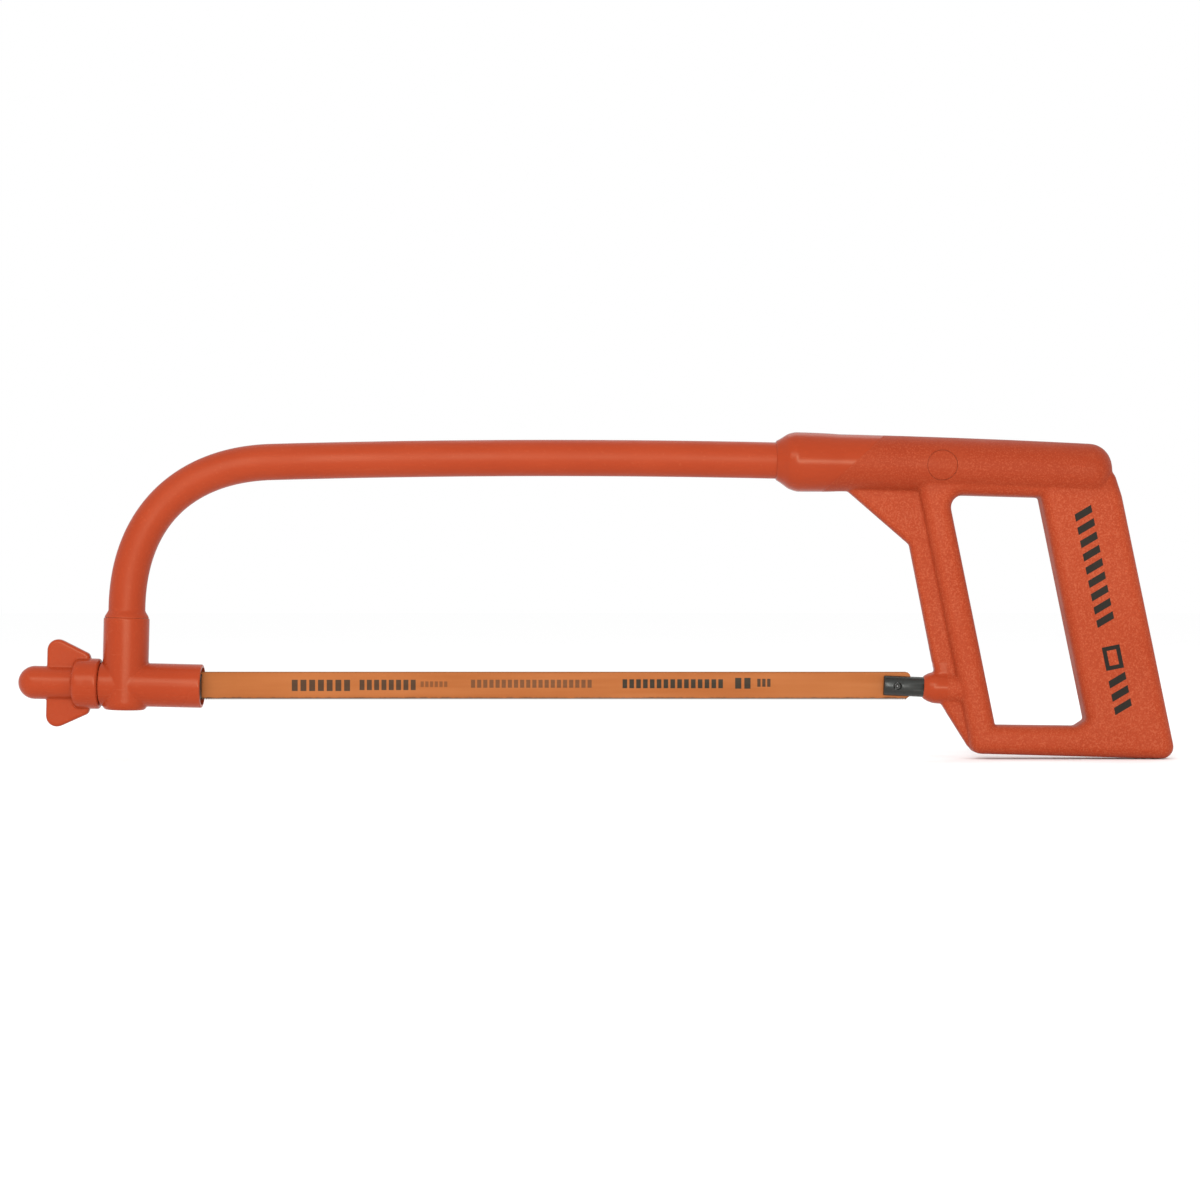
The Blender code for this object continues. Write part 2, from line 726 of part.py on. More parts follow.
def screw_matrix(side=1):
    """Frame of the handle screw, whose X runs along the screw towards one side."""
    place = Matrix.Translation((SCREW_X, 0.0, SCREW_Z))
    return place @ Matrix.Rotation(math.radians(90 * side), 4, "Z")


def frame_outline():
    """Outer edge of the handle's thick frame: front post, bottom rail and rear grip."""
    return rounded_outline([
        (0.1337, 0.1280, 0.0),
        (0.1592, 0.0021, 0.0051),
        (0.2457, -0.0002, 0.0051),
        (0.2227, 0.1108, 0.0100),
        (0.2196, 0.1205, 0.0060),
        (0.2105, 0.1265, 0.0),
    ])


def finger_opening():
    """Opening behind the front post, chamfered at its lower rear corner."""
    return rounded_outline([
        (0.1494, 0.1115, 0.0052),
        (0.1884, 0.1104, 0.0),
        (0.2076, 0.0164, 0.0008),
        (0.2035, 0.0137, 0.0008),
        (0.1692, 0.0141, 0.0),
    ], steps=4)


def web_outline():
    """Outer edge of the thin web in front of the post."""
    return rounded_outline([
        (0.0993, 0.1200, 0.0),
        (0.1333, 0.0905, 0.0012),
        (0.1465, 0.0234, 0.0060),
        (0.1587, 0.0041, 0.0030),
        (0.1645, 0.0040, 0.0),
        (0.1430, 0.1200, 0.0),
    ], steps=3)


def make_handle(plastic):
    handle = add_object("handle", handle_tube(), plastic)
    join(handle, "frame", rounded_plate([frame_outline(), finger_opening()], FRAME_HALF_THICKNESS,
                                        FRAME_EDGE, steps=4))
    join(handle, "web", rounded_plate([web_outline()], WEB_HALF_THICKNESS, WEB_EDGE))
    join(handle, "boss", turned([
        (BOSS_LEFT, BOSS_RADIUS - 0.0020),
        (BOSS_LEFT + 0.0010, BOSS_RADIUS - 0.0015),
        (BOSS_LEFT + 0.0022, BOSS_RADIUS - 0.0008),
        (BOSS_LEFT + 0.0042, BOSS_RADIUS - 0.0002),
        (BOSS_LEFT + 0.0058, BOSS_RADIUS),
        (ANCHOR_OFFSET + 0.0020, BOSS_RADIUS),
    ], segments=32), spigot_matrix())
    bore_start_x = TUBE_START_X - 0.010
    core_bore = run_points(bore_start_x, CORE_END_X + GAP, 5)
    cut(handle, "core_bore", tube_along(core_bore, CORE_RADIUS + GAP, segments=20))
    sleeve_bore = run_points(bore_start_x, SLEEVE_END_X, 2)
    cut(handle, "sleeve_bore", tube_along(sleeve_bore, SLEEVE_RADIUS + GAP))
    cut(handle, "spigot_bore", turned([
        (BOSS_LEFT - 0.001, SPIGOT_RADIUS + GAP),
        (SPIGOT_RIGHT + GAP, SPIGOT_RADIUS + GAP),
    ], segments=24), spigot_matrix())
    hole_half = ANCHOR_HALF_LENGTH + GAP
    anchor_hole = turned([(-hole_half, PIN_HOLE_RADIUS), (hole_half, PIN_HOLE_RADIUS)], segments=16)
    cut(handle, "anchor_hole", anchor_hole, spigot_matrix() @ anchor_matrix())
    cut(handle, "screw_hole", drill(SCREW_HOLE, 16), screw_matrix())
    for name, side in (("near_counterbore", -1), ("far_counterbore", 1)):
        cut(handle, name, turned([
            (SCREW_SEAT, PLUG_RADIUS + GAP / 2),
            (PLUG_OUTER, PLUG_RADIUS + GAP / 2),
        ], segments=40), screw_matrix(side))


def make_screw_plug(name, plastic, place):
    """Round plug whose outer face follows the tube's surface."""
    plug = turned([(PLUG_INNER, PLUG_RADIUS), (PLUG_OUTER, PLUG_RADIUS)], segments=40)
    plug = add_object(name, plug, plastic, None, place)
    combine(plug, "INTERSECT", f"{name}_surface", handle_tube())


def make_handle_screw(steel):
    """Screw from the near side, with a washer and a nut on the far side."""
    near = screw_matrix(-1)
    far = screw_matrix(1)
    play = 0.0001
    seat = SCREW_SEAT + play
    head_top = seat + SCREW_HEAD_HEIGHT
    screw = add_object("handle_screw", turned([
        (SCREW_TIP, SCREW_RADIUS - 0.0003),
        (SCREW_TIP + 0.0003, SCREW_RADIUS),
        (seat, SCREW_RADIUS),
        (seat, SCREW_HEAD_RADIUS),
        (seat + 0.0010, SCREW_HEAD_RADIUS - 0.0001),
        (head_top, SCREW_HEAD_RADIUS - 0.0010),
    ], segments=24), steel, None, near)
    slot_half = DRIVER_SLOT_WIDTH / 2
    slot_low = (head_top - DRIVER_SLOT_DEPTH, -slot_half, -THROUGH)
    cut(screw, "driver_slot", block(slot_low, (head_top + THROUGH, slot_half, THROUGH)), near)

    bore = SCREW_RADIUS + GAP / 2
    washer_top = seat + HANDLE_WASHER_THICKNESS
    washer = flat_washer(seat, washer_top, HANDLE_WASHER_RADIUS, bore)
    add_object("handle_washer", washer, steel, None, far)
    nut_low = washer_top + play
    nut = hexagon(HANDLE_NUT_ACROSS_FLATS, nut_low, nut_low + HANDLE_NUT_HEIGHT)
    nut = add_object("handle_nut", nut, steel, None, far)
    cut(nut, "bore", drill(bore, 16), far)
    spacer = flat_washer(-CRUSH_HALF_LENGTH, CRUSH_HALF_LENGTH, CRUSH_RADIUS, bore, segments=20)
    add_object("crush_sleeve", spacer, steel, None, far)


def main():
    clear_scene()
    plastic = make_material("orange_plastic", (0.53, 0.075, 0.025), 0.42, 0.0)
    blade_paint = make_material("blade_paint", (0.55, 0.17, 0.05), 0.38, 0.0)
    steel = make_material("zinc_steel", (0.55, 0.56, 0.57), 0.35, 1.0)
    black_steel = make_material("black_steel", (0.035, 0.04, 0.042), 0.4, 0.8)
    brass = make_material("brass", (0.72, 0.50, 0.20), 0.3, 1.0)

    tension_axis = add_axis("tension_axis", TEE_X, TEE_Z, TILT)
    make_bow(steel, plastic)
    make_tee_cover(tension_axis, plastic)
    make_guide_bush(tension_axis, steel)
    make_tension_rod(tension_axis, black_steel)
    pin = dowel(HEAD_RADIUS - 0.0004)
    add_object("front_blade_pin", pin, steel, tension_axis, front_pin_matrix())
    make_wing_nut_cover(tension_axis, plastic)
    make_wing_nut_insert(tension_axis, brass)
    washer = flat_washer(WASHER_LEFT, WASHER_RIGHT, WASHER_RADIUS, THREAD_MAJOR + 0.0004)
    add_object("thrust_washer", washer, steel, tension_axis)
    make_blade(blade_paint)
    make_spigot(black_steel, steel)
    make_handle(plastic)
    make_screw_plug("screw_plug_near", plastic, screw_matrix(-1))
    make_screw_plug("screw_plug_far", plastic, screw_matrix(1))
    make_handle_screw(steel)


main()
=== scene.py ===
"""Looks of the insulated hacksaw: moulded plastic, painted blade, plated and blackened steel.

Metres, +Z up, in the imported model's frame. +X runs from the wing nut to the handle.
"""

import json
import math

import bmesh
import bpy
from mathutils import Matrix, Vector
from mathutils.geometry import interpolate_bezier


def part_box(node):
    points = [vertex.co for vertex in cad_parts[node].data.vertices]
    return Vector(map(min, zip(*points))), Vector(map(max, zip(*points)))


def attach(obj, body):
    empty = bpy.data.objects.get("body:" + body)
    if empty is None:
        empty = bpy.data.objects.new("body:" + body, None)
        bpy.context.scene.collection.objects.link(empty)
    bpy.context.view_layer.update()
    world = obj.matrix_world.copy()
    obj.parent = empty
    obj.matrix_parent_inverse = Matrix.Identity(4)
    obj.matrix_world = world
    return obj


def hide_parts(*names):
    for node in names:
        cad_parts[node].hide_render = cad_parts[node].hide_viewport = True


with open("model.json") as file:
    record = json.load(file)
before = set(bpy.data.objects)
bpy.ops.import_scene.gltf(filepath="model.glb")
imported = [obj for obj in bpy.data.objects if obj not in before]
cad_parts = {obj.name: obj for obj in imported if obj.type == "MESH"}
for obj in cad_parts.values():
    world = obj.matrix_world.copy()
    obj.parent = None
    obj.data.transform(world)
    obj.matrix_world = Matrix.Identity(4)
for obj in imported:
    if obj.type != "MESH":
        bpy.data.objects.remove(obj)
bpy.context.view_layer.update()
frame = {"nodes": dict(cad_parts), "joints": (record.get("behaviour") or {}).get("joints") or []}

# Places that the frame gives
TENSION = {joint["name"]: joint for joint in frame["joints"]}["wing_spin"]
TENSION_POINT = Vector(TENSION["pos_m"])
TILT = math.asin(Vector(TENSION["axis"]).normalized().z)
REAR_PIN = sum(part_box("rear_blade_pin"), Vector()) / 2
ANCHOR_PIN = sum(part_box("spigot_anchor_pin"), Vector()) / 2
SCREW = sum(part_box("crush_sleeve"), Vector()) / 2
BLADE_LOW, BLADE_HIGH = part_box("blade")
HANDLE_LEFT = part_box("handle")[0].x
SLEEVE_END_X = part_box("bow_sleeve")[1].x
CORE_END_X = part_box("bow_core")[1].x

SHARP_ANGLE = math.radians(35)

# Fits: a seam is what two mouldings show where they meet, a gap is hidden clearance
SEAM = 0.0001
GAP = 0.0003

# Bow
SLEEVE_RADIUS = 0.0077
BEND_THINNING = 0.0002
FLARE_RADIUS = 0.0092
FLARE_TOP = 0.0314
FLARE_LIP = 0.0002
CORE_RADIUS = 0.00635
SLEEVE_SEAT = 0.0147
LEG_LENGTH = 0.0329
BEND_LEG_HANDLE = 0.0385
BEND_RUN_HANDLE = 0.0370
BEND_END_X = -0.1366
APEX_X = -0.0182
APEX_Z = 0.1272
CAMBER_RADIUS = 4.18

# T-shaped fitting
COLLAR_RADIUS = 0.0096
COLLAR_BOTTOM = -0.0108
COLLAR_TOP = 0.0283
ARM_RADIUS = 0.00925
ARM_LEFT = -0.0102
ARM_MOUTH = 0.0328
ARM_BORE = 0.0080
BUSH_RADIUS = 0.0068
BUSH_RIGHT = 0.0122
TEE_ARM_EDGE = 0.0003
TEE_VOXEL = 0.00033

# Wing nut
NUT_TIP = -0.0452
STEM_RADIUS = 0.00705
NUT_COLLAR_RADIUS = 0.0107
NUT_COLLAR_LEFT = -0.0217
NUT_COLLAR_RIGHT = -0.0105
WING_LEFT = -0.0331
WING_RIGHT = -0.0148
WING_OUTER = 0.0212
WING_INNER = 0.0125
WING_HALF_THICKNESS = 0.0023
WING_EDGE = 0.0014
WING_OUTER_CORNER = 0.0046
WING_INNER_CORNER = 0.0025
MOUTH_BORE = (0.0070, -0.0120, -0.0090)
INSERT_POCKET = (-0.0208, -0.0112)
INSERT_HALF_FLATS = 0.0063
ROD_BORE = (0.00355, -0.0325, -0.0195)
NUT_VOXEL = 0.00028

# Handle, with the spigot's axis through the rear pin and the anchor pin
TUBE_END_X = 0.2188
TUBE_END_RADIUS = 0.0118
TUBE_END_ROUNDING = 0.0090
TUBE_RADIUS = 0.0121
TUBE_AXIS_X = 0.0865
TUBE_AXIS_Z = 0.1255
TUBE_SLOPE = 0.017
TUBE_DROOP = 0.13
GRIP_HALF_THICKNESS = 0.0088
GRIP_EDGE = 0.0050
WEB_HALF_THICKNESS = 0.0040
WEB_EDGE = 0.0026
SPIGOT_TILT = math.atan2(REAR_PIN.z - ANCHOR_PIN.z, ANCHOR_PIN.x - REAR_PIN.x)
ANCHOR_OFFSET = (ANCHOR_PIN.x - REAR_PIN.x) / math.cos(SPIGOT_TILT)
ANCHOR_HALF_LENGTH = 0.0070
SPIGOT_RADIUS = 0.00425
SPIGOT_LEFT = -0.0057
SPIGOT_RIGHT = 0.0354
SPIGOT_SLOT_END = 0.0089
SPIGOT_CHAMFER = 0.0004
DIMPLE_INNER_RADIUS = 0.00134
DIMPLE_OUTER_RADIUS = 0.00246
DIMPLE_HALF_DEPTH = 0.0008
SLOT_WIDTH = 0.0012
PIN_RADIUS = 0.0014
PIN_HOLE_RADIUS = 0.00155
BOSS_LEFT = 0.0110
BOSS_RADIUS = 0.0068
BOSS_SMOOTH_TO = REAR_PIN.x + 0.0205
BOSS_SMOOTH_FADE = 0.0008
BOSS_SMOOTH_TOP = BLADE_HIGH.z + 0.004
SCREW_HOLE = 0.0023
SCREW_SEAT = 0.0069
PLUG_RADIUS = 0.00632
PLUG_INNER = 0.0095
PLUG_RIM = 0.00025
HANDLE_VOXEL = 0.0005

# Slanted line where the polished nose ends, and the heights between which the tube's tone sets in
NOSE_LINE_X = 0.1088
NOSE_LINE_Z = 0.1243
NOSE_LINE_SLOPE = 1.1
TUBE_TONE_FROM = 0.1090
TUBE_TONE_TO = 0.1170

# Print on the grip: rows of bars with their start and count, and a rectangular ring
PRINT_START = Vector((0.2053, 0.0, 0.1050))
PRINT_LEAN = math.radians(11.5)
PRINT_SLANT = 0.35
PRINT_PERIOD = 0.0057
PRINT_BAR_SHARE = 0.55
PRINT_HALF_WIDTH = 0.0038
PRINT_ROWS = ((0.0, 9), (0.0716, 3))
RING_START = 0.0585
RING_END = 0.0685
RING_LINE = 0.0018

# Print on the blade: start, number of bars, period, height, rise over the middle line, strength
BLADE_ROWS = (
    (-0.1288, 7, 0.0037, 0.0048, 0.0002, 0.90),
    (-0.1000, 8, 0.0031, 0.0044, 0.0004, 0.90),
    (-0.0740, 6, 0.0020, 0.0024, 0.0007, 0.50),
    (-0.0527, 20, 0.0026, 0.0034, 0.0009, 0.65),
    (0.0115, 15, 0.0029, 0.0038, 0.0009, 1.00),
    (0.0591, 2, 0.0039, 0.0046, 0.0011, 1.00),
    (0.0687, 3, 0.0021, 0.0034, 0.0013, 0.90),
)
BLADE_BAR_SHARE = (0.12, 0.80)
# Painted shade along the blade's back edge: depths below the edge between which it sets in
BACK_EDGE_SHADE = (0.0006, 0.0001)
# Painted shade along the teeth, standing for the shade in the tooth gullets: heights over the tooth
# tips where it fades, and how far it wavers
TOOTH_SHADE_BAND = (0.0014, 0.0020)
TOOTH_SHADE_WAVER = 0.0012

# Camera and stage
CAMERA_DISTANCE = 1.06
CAMERA_LENS = 75.0
CAMERA_SENSOR = 36.0
VIEW_CENTRE = Vector((0.0023, 0.0, 0.0670))
FLOOR_RADIUS = 12.0
FLOOR_DROP = 0.0002

# Lights: name, azimuth and elevation in degrees, distance, width and height, watts
LIGHTS = (
    ("key", -20, 25, 1.6, (0.90, 0.50), 8.5),
    ("low", 4, 3, 1.5, (0.90, 0.22), 10.5),
    ("strip", -9, 15, 1.6, (0.16, 0.30), 4.0),
    ("back", 170, 50, 1.5, (1.0, 0.6), 2.0),
)

# Colours, linear
ORANGE = (0.285, 0.0360, 0.0112)
ORANGE_DEEP = (0.235, 0.0240, 0.0065)
# Pale orange of grain specks and rubbed lines, also used as a painted highlight on the edges of
# mouldings
ORANGE_LIGHT = (0.350, 0.0680, 0.0280)
INK = (0.0075, 0.0075, 0.0080)
BLADE_BROWN = (0.285, 0.080, 0.017)
BLADE_DARK = (0.235, 0.062, 0.012)
BLADE_PALE = (0.330, 0.102, 0.026)
BLADE_INK = (0.012, 0.009, 0.007)
# Dark brown of the painted shade along the blade's teeth and back edge
EDGE_SHADE_BROWN = (0.035, 0.015, 0.007)
# Deep red of the handle's tube, also used as painted shade in the corners of mouldings
TUBE_RED_AND_CORNER_SHADE = (0.190, 0.0185, 0.0050)
ZINC = (0.56, 0.57, 0.58)
PIN_GREY = (0.10, 0.10, 0.095)
BLACKENED = (0.014, 0.015, 0.013)
BRASS = (0.72, 0.50, 0.20)
FLOOR_DIM = (0.985, 0.985, 0.985)
FLOOR_BRIGHT = (0.995, 0.995, 0.995)
PLASTIC_SPECULAR = 0.15
BLADE_SPECULAR = 0.18
WARM_SHEEN = (1.0, 0.80, 0.55, 1.0)

ALONG_Y = Matrix.Rotation(math.radians(90), 4, "Z")
AGAINST_Y = Matrix.Rotation(math.radians(-90), 4, "Z")
ALONG_Z = Matrix.Rotation(math.radians(-90), 4, "Y")


# Mesh builders ---------------------------------------------------------------------------------


def bridge(bm, first, second):
    count = len(first)
    for i in range(count):
        j = (i + 1) % count
        bm.faces.new((first[i], first[j], second[j], second[i]))


def circle_points(radius, segments):
    angles = [2 * math.pi * i / segments for i in range(segments)]
    return [(radius * math.cos(a), radius * math.sin(a)) for a in angles]


def turned(profile, segments=96, hollow=False):
    """Solid turned about X from (x, radius) points, or a ring when the profile closes on itself."""
    bm = bmesh.new()
    rings = []
    for x, radius in profile:
        rings.append([bm.verts.new((x, y, z)) for y, z in circle_points(radius, segments)])
    for first, second in zip(rings, rings[1:]):
        bridge(bm, first, second)
    if hollow:
        bridge(bm, rings[-1], rings[0])
    else:
        bm.faces.new(rings[0])
        bm.faces.new(rings[-1])
    return bm


def drill(radius, low=-0.03, high=0.03, segments=64):
    """Round or many-sided cutter about X."""
    return turned([(low, radius), (high, radius)], segments)


def block(low, high):
    bm = bmesh.new()
    bmesh.ops.create_cube(bm, size=1.0)
    low, high = Vector(low), Vector(high)
    bm.transform(Matrix.Translation((low + high) / 2) @ Matrix.Diagonal((*(high - low), 1.0)))
    return bm


def smooth_path(points, steps):
    """Catmull-Rom curve through a list of equal-length number tuples."""
    out = []
    last = len(points) - 1
    for i in range(last):
        p0, p1 = points[max(i - 1, 0)], points[i]
        p2, p3 = points[i + 1], points[min(i + 2, last)]
        for step in range(steps):
            t = step / steps
            out.append(tuple(
                0.5 * (2 * b + (c - a) * t + (2 * a - 5 * b + 4 * c - d) * t * t
                       + (3 * b - a - 3 * c + d) * t ** 3)
                for a, b, c, d in zip(p0, p1, p2, p3)))
    out.append(tuple(points[-1]))
    return out


def rounded_outline(corners, steps=10):
    """Outline of (x, z) points through (x, z, radius) corners, each rounded by an arc."""
    points = []
    count = len(corners)
    for i, (x, z, radius) in enumerate(corners):
        corner = Vector((x, z))
        if radius == 0:
            points.append(corner)
            continue
        back = (Vector(corners[i - 1][:2]) - corner).normalized()
        ahead = (Vector(corners[(i + 1) % count][:2]) - corner).normalized()
        half_angle = back.angle(ahead) / 2
        centre = corner + (back + ahead).normalized() * (radius / math.sin(half_angle))
        start = corner + back * (radius / math.tan(half_angle)) - centre
        end = corner + ahead * (radius / math.tan(half_angle)) - centre
        sweep = math.atan2(start.x * end.y - start.y * end.x, start.dot(end))
        for step in range(steps + 1):
            points.append(centre + Matrix.Rotation(sweep * step / steps, 2) @ start)
    return points


def inset_outline(points, distance):
    moved = []
    count = len(points)
    for i, point in enumerate(points):
        before = (point - points[i - 1]).normalized()
        after = (points[(i + 1) % count] - point).normalized()
        normal = Vector((-before.y - after.y, before.x + after.x)).normalized()
        half_cosine = normal.dot(Vector((-before.y, before.x)))
        moved.append(point + normal * (distance / half_cosine))
    return moved


def rounded_plate(outlines, half_thickness, edge_radius, steps=7):
    """Plate across Y with rounded edges. The outer outline runs counterclockwise, holes clockwise."""
    bm = bmesh.new()
    quarter = [math.radians(90) * i / steps for i in range(steps + 1)]
    levels = [(-1, a) for a in reversed(quarter)] + [(1, a) for a in quarter]
    end_edges = ([], [])
    for outline in outlines:
        rings = []
        for side, angle in levels:
            inset = edge_radius * (1 - math.cos(angle))
            y = side * (half_thickness - edge_radius + edge_radius * math.sin(angle))
            rings.append([bm.verts.new((p.x, y, p.y)) for p in inset_outline(outline, inset)])
        for first, second in zip(rings, rings[1:]):
            bridge(bm, first, second)
        for edges, ring in zip(end_edges, (rings[0], rings[-1])):
            edges.extend(bm.edges.get((a, b)) for a, b in zip(ring, ring[1:] + ring[:1]))
    for edges in end_edges:
        bmesh.ops.triangle_fill(bm, use_beauty=True, use_dissolve=False, edges=edges)
    return bm


def tube_along(path, outer, inner=None, segments=64):
    """Round bar or tube along (x, z) points in the mid plane. Each radius is one value or a list."""
    bm = bmesh.new()
    shells = []
    for radii in [outer] if inner is None else [outer, inner]:
        radii = radii if isinstance(radii, list) else [radii] * len(path)
        rings = []
        for i, (point, radius) in enumerate(zip(path, radii)):
            tangent = (path[min(i + 1, len(path) - 1)] - path[max(i - 1, 0)]).normalized()
            ring = []
            for across, side in circle_points(radius, segments):
                x = point.x - tangent.y * across
                z = point.y + tangent.x * across
                ring.append(bm.verts.new((x, side, z)))
            rings.append(ring)
        for first, second in zip(rings, rings[1:]):
            bridge(bm, first, second)
        shells.append(rings)
    for end in (0, -1):
        if inner is None:
            bm.faces.new(shells[0][end])
        else:
            bridge(bm, shells[0][end], shells[1][end])
    return bm


# Objects ---------------------------------------------------------------------------------------


def add_mesh(name, bm, material=None, transform=None):
    if transform is not None:
        bm.transform(transform)
    bmesh.ops.recalc_face_normals(bm, faces=bm.faces)
    mesh = bpy.data.meshes.new(name)
    bm.to_mesh(mesh)
    bm.free()
    mesh.shade_smooth()
    mesh.set_sharp_from_angle(angle=SHARP_ANGLE)
    if material is not None:
        mesh.materials.append(material)
    piece = bpy.data.objects.new(name, mesh)
    bpy.context.scene.collection.objects.link(piece)
    return piece


def carve(piece, operation, bm, transform=None):
    """Join or cut a shape and apply it."""
    carve_with(piece, operation, add_mesh("tool", bm, None, transform))


def carve_with(piece, operation, tool):
    modifier = piece.modifiers.new("carve", "BOOLEAN")
    modifier.operation = operation
    modifier.solver = "EXACT"
    modifier.object = tool
    apply_modifiers(piece)
    mesh = tool.data
    bpy.data.objects.remove(tool)
    bpy.data.meshes.remove(mesh)
    piece.data.shade_smooth()
    piece.data.set_sharp_from_angle(angle=SHARP_ANGLE)


def apply_modifiers(piece):
    bpy.context.view_layer.update()
    graph = bpy.context.evaluated_depsgraph_get()
    mesh = bpy.data.meshes.new_from_object(piece.evaluated_get(graph))
    old = piece.data
    piece.modifiers.clear()
    piece.data = mesh
    mesh.name = piece.name
    bpy.data.meshes.remove(old)


def mould(piece, voxel, rounds):
    """Melt the shapes of a moulding into one skin with small fillets where they meet."""
    remesh = piece.modifiers.new("remesh", "REMESH")
    remesh.mode = "VOXEL"
    remesh.voxel_size = voxel
    remesh.use_smooth_shade = True
    smooth = piece.modifiers.new("smooth", "SMOOTH")
    smooth.factor = 0.5
    smooth.iterations = rounds
    apply_modifiers(piece)
    piece.data.shade_smooth()


def declare(piece, material, node, body="frame"):
    """Finish a piece that stands for a node."""
    piece.data.materials.clear()
    piece.data.materials.append(material)
    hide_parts(node)
    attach(piece, body)


def tension_matrix():
    return Matrix.Translation(TENSION_POINT) @ Matrix.Rotation(TILT, 4, "Y")


def spigot_matrix():
    return Matrix.Translation(REAR_PIN) @ Matrix.Rotation(SPIGOT_TILT, 4, "Y")


# Materials -------------------------------------------------------------------------------------


class Shader:
    """Node tree of one material, with short calls for the nodes used here."""

    def __init__(self, name):
        self.material = bpy.data.materials.new(name)
        self.material.use_nodes = True
        self.tree = self.material.node_tree
        self.surface = self.tree.nodes["Principled BSDF"]
        self.place = self.node("ShaderNodeTexCoord").outputs["Object"]

    def node(self, kind, **settings):
        made = self.tree.nodes.new(kind)
        for key, value in settings.items():
            setattr(made, key, value)
        return made

    def plug(self, value, socket):
        if isinstance(value, bpy.types.NodeSocket):
            self.tree.links.new(value, socket)
        else:
            socket.default_value = value

    def math(self, operation, first, second=0.0, clamp=False):
        made = self.node("ShaderNodeMath", operation=operation, use_clamp=clamp)
        self.plug(first, made.inputs[0])
        self.plug(second, made.inputs[1])
        return made.outputs[0]

    def stretched(self, scale):
        """Object coordinates, scaled along each axis."""
        made = self.node("ShaderNodeMapping")
        self.plug(self.place, made.inputs["Vector"])
        made.inputs["Scale"].default_value = scale
        return made.outputs[0]

    def noise(self, scale, detail=3.0, rough=0.5, vector=None):
        made = self.node("ShaderNodeTexNoise")
        self.plug(vector or self.place, made.inputs["Vector"])
        made.inputs["Scale"].default_value = scale
        made.inputs["Detail"].default_value = detail
        made.inputs["Roughness"].default_value = rough
        return made.outputs["Fac"]

    def ramp(self, value, low, high, to_low=0.0, to_high=1.0):
        """Map a range of values to another, clamped and smooth."""
        made = self.node("ShaderNodeMapRange", interpolation_type="SMOOTHSTEP")
        self.plug(value, made.inputs["Value"])
        made.inputs["From Min"].default_value = low
        made.inputs["From Max"].default_value = high
        made.inputs["To Min"].default_value = to_low
        made.inputs["To Max"].default_value = to_high
        return made.outputs["Result"]

    def mix(self, share, first, second):
        made = self.node("ShaderNodeMix", data_type="RGBA")
        self.plug(share, made.inputs["Factor"])
        for colour, name in ((first, "A"), (second, "B")):
            linked = isinstance(colour, bpy.types.NodeSocket)
            self.plug(colour if linked else (*colour, 1.0), made.inputs[name])
        return made.outputs["Result"]

    def blend(self, share, first, second):
        made = self.node("ShaderNodeMix", data_type="FLOAT")
        self.plug(share, made.inputs["Factor"])
        self.plug(first, made.inputs["A"])
        self.plug(second, made.inputs["B"])
        return made.outputs["Result"]

    def axes(self):
        made = self.node("ShaderNodeSeparateXYZ")
        self.plug(self.place, made.inputs[0])
        return made.outputs

    def bump(self, height, distance, strength=1.0):
        made = self.node("ShaderNodeBump")
        self.plug(height, made.inputs["Height"])
        self.plug(strength, made.inputs["Strength"])
        made.inputs["Distance"].default_value = distance
        self.tree.links.new(made.outputs[0], self.surface.inputs["Normal"])

    def finish(self, colour, roughness):
        self.plug(colour, self.surface.inputs["Base Color"])
        self.plug(roughness, self.surface.inputs["Roughness"])
        return self.material


def plastic_tone(shader):
    """Slightly uneven orange-red of a moulding, with a painted highlight on its edges and painted
    shade in its corners.
    """
    clouds = shader.ramp(shader.noise(28.0, 4.0), 0.35, 0.65)
    between_tones = tuple(0.75 * a + 0.25 * b for a, b in zip(ORANGE, ORANGE_DEEP))
    tone = shader.mix(clouds, ORANGE, between_tones)
    specks = shader.ramp(shader.noise(900.0, 2.0), 0.62, 0.75, 0.0, 0.25)
    tone = shader.mix(specks, tone, ORANGE_LIGHT)
    edge = shader.node("ShaderNodeNewGeometry").outputs["Pointiness"]
    # Painted highlight: paler orange on convex edges
    tone = shader.mix(shader.ramp(edge, 0.505, 0.56, 0.0, 0.20), tone, ORANGE_LIGHT)
    # Painted shade: deeper red in concave corners
    return shader.mix(shader.ramp(edge, 0.45, 0.495, 0.55, 0.0), tone, TUBE_RED_AND_CORNER_SHADE)


def scuffs(shader):
    """Fine rubbed lines along the saw."""
    long_noise = shader.noise(60.0, 5.0, 0.65, shader.stretched((0.6, 7.0, 7.0)))
    return shader.ramp(long_noise, 0.60, 0.72)


def parting_line(shader, y):
    """Fine ridge where the two halves of a mould met, in the saw's mid plane."""
    return shader.ramp(shader.math("ABSOLUTE", y), 0.00004, 0.00016, 1.0, 0.0)


def make_smooth_plastic(name, parted, low_rough, high_rough):
    shader = Shader(name)
    shader.surface.inputs["Specular IOR Level"].default_value = PLASTIC_SPECULAR
    shader.surface.inputs["Specular Tint"].default_value = WARM_SHEEN
    tone = plastic_tone(shader)
    rubbed = scuffs(shader)
    tone = shader.mix(shader.math("MULTIPLY", rubbed, 0.15), tone, ORANGE_LIGHT)
    rough = shader.ramp(shader.noise(45.0), 0.3, 0.7, low_rough, high_rough)
    rough = shader.blend(rubbed, rough, high_rough + 0.06)
    swell = shader.math("MULTIPLY", shader.noise(90.0), 2.5)
    height = shader.math("ADD", shader.noise(420.0, 3.0), swell)
    if parted:
        height = shader.math("ADD", height, parting_line(shader, shader.axes()[1]))
    shader.bump(height, 0.00005, 0.5)
    return shader.finish(tone, rough)


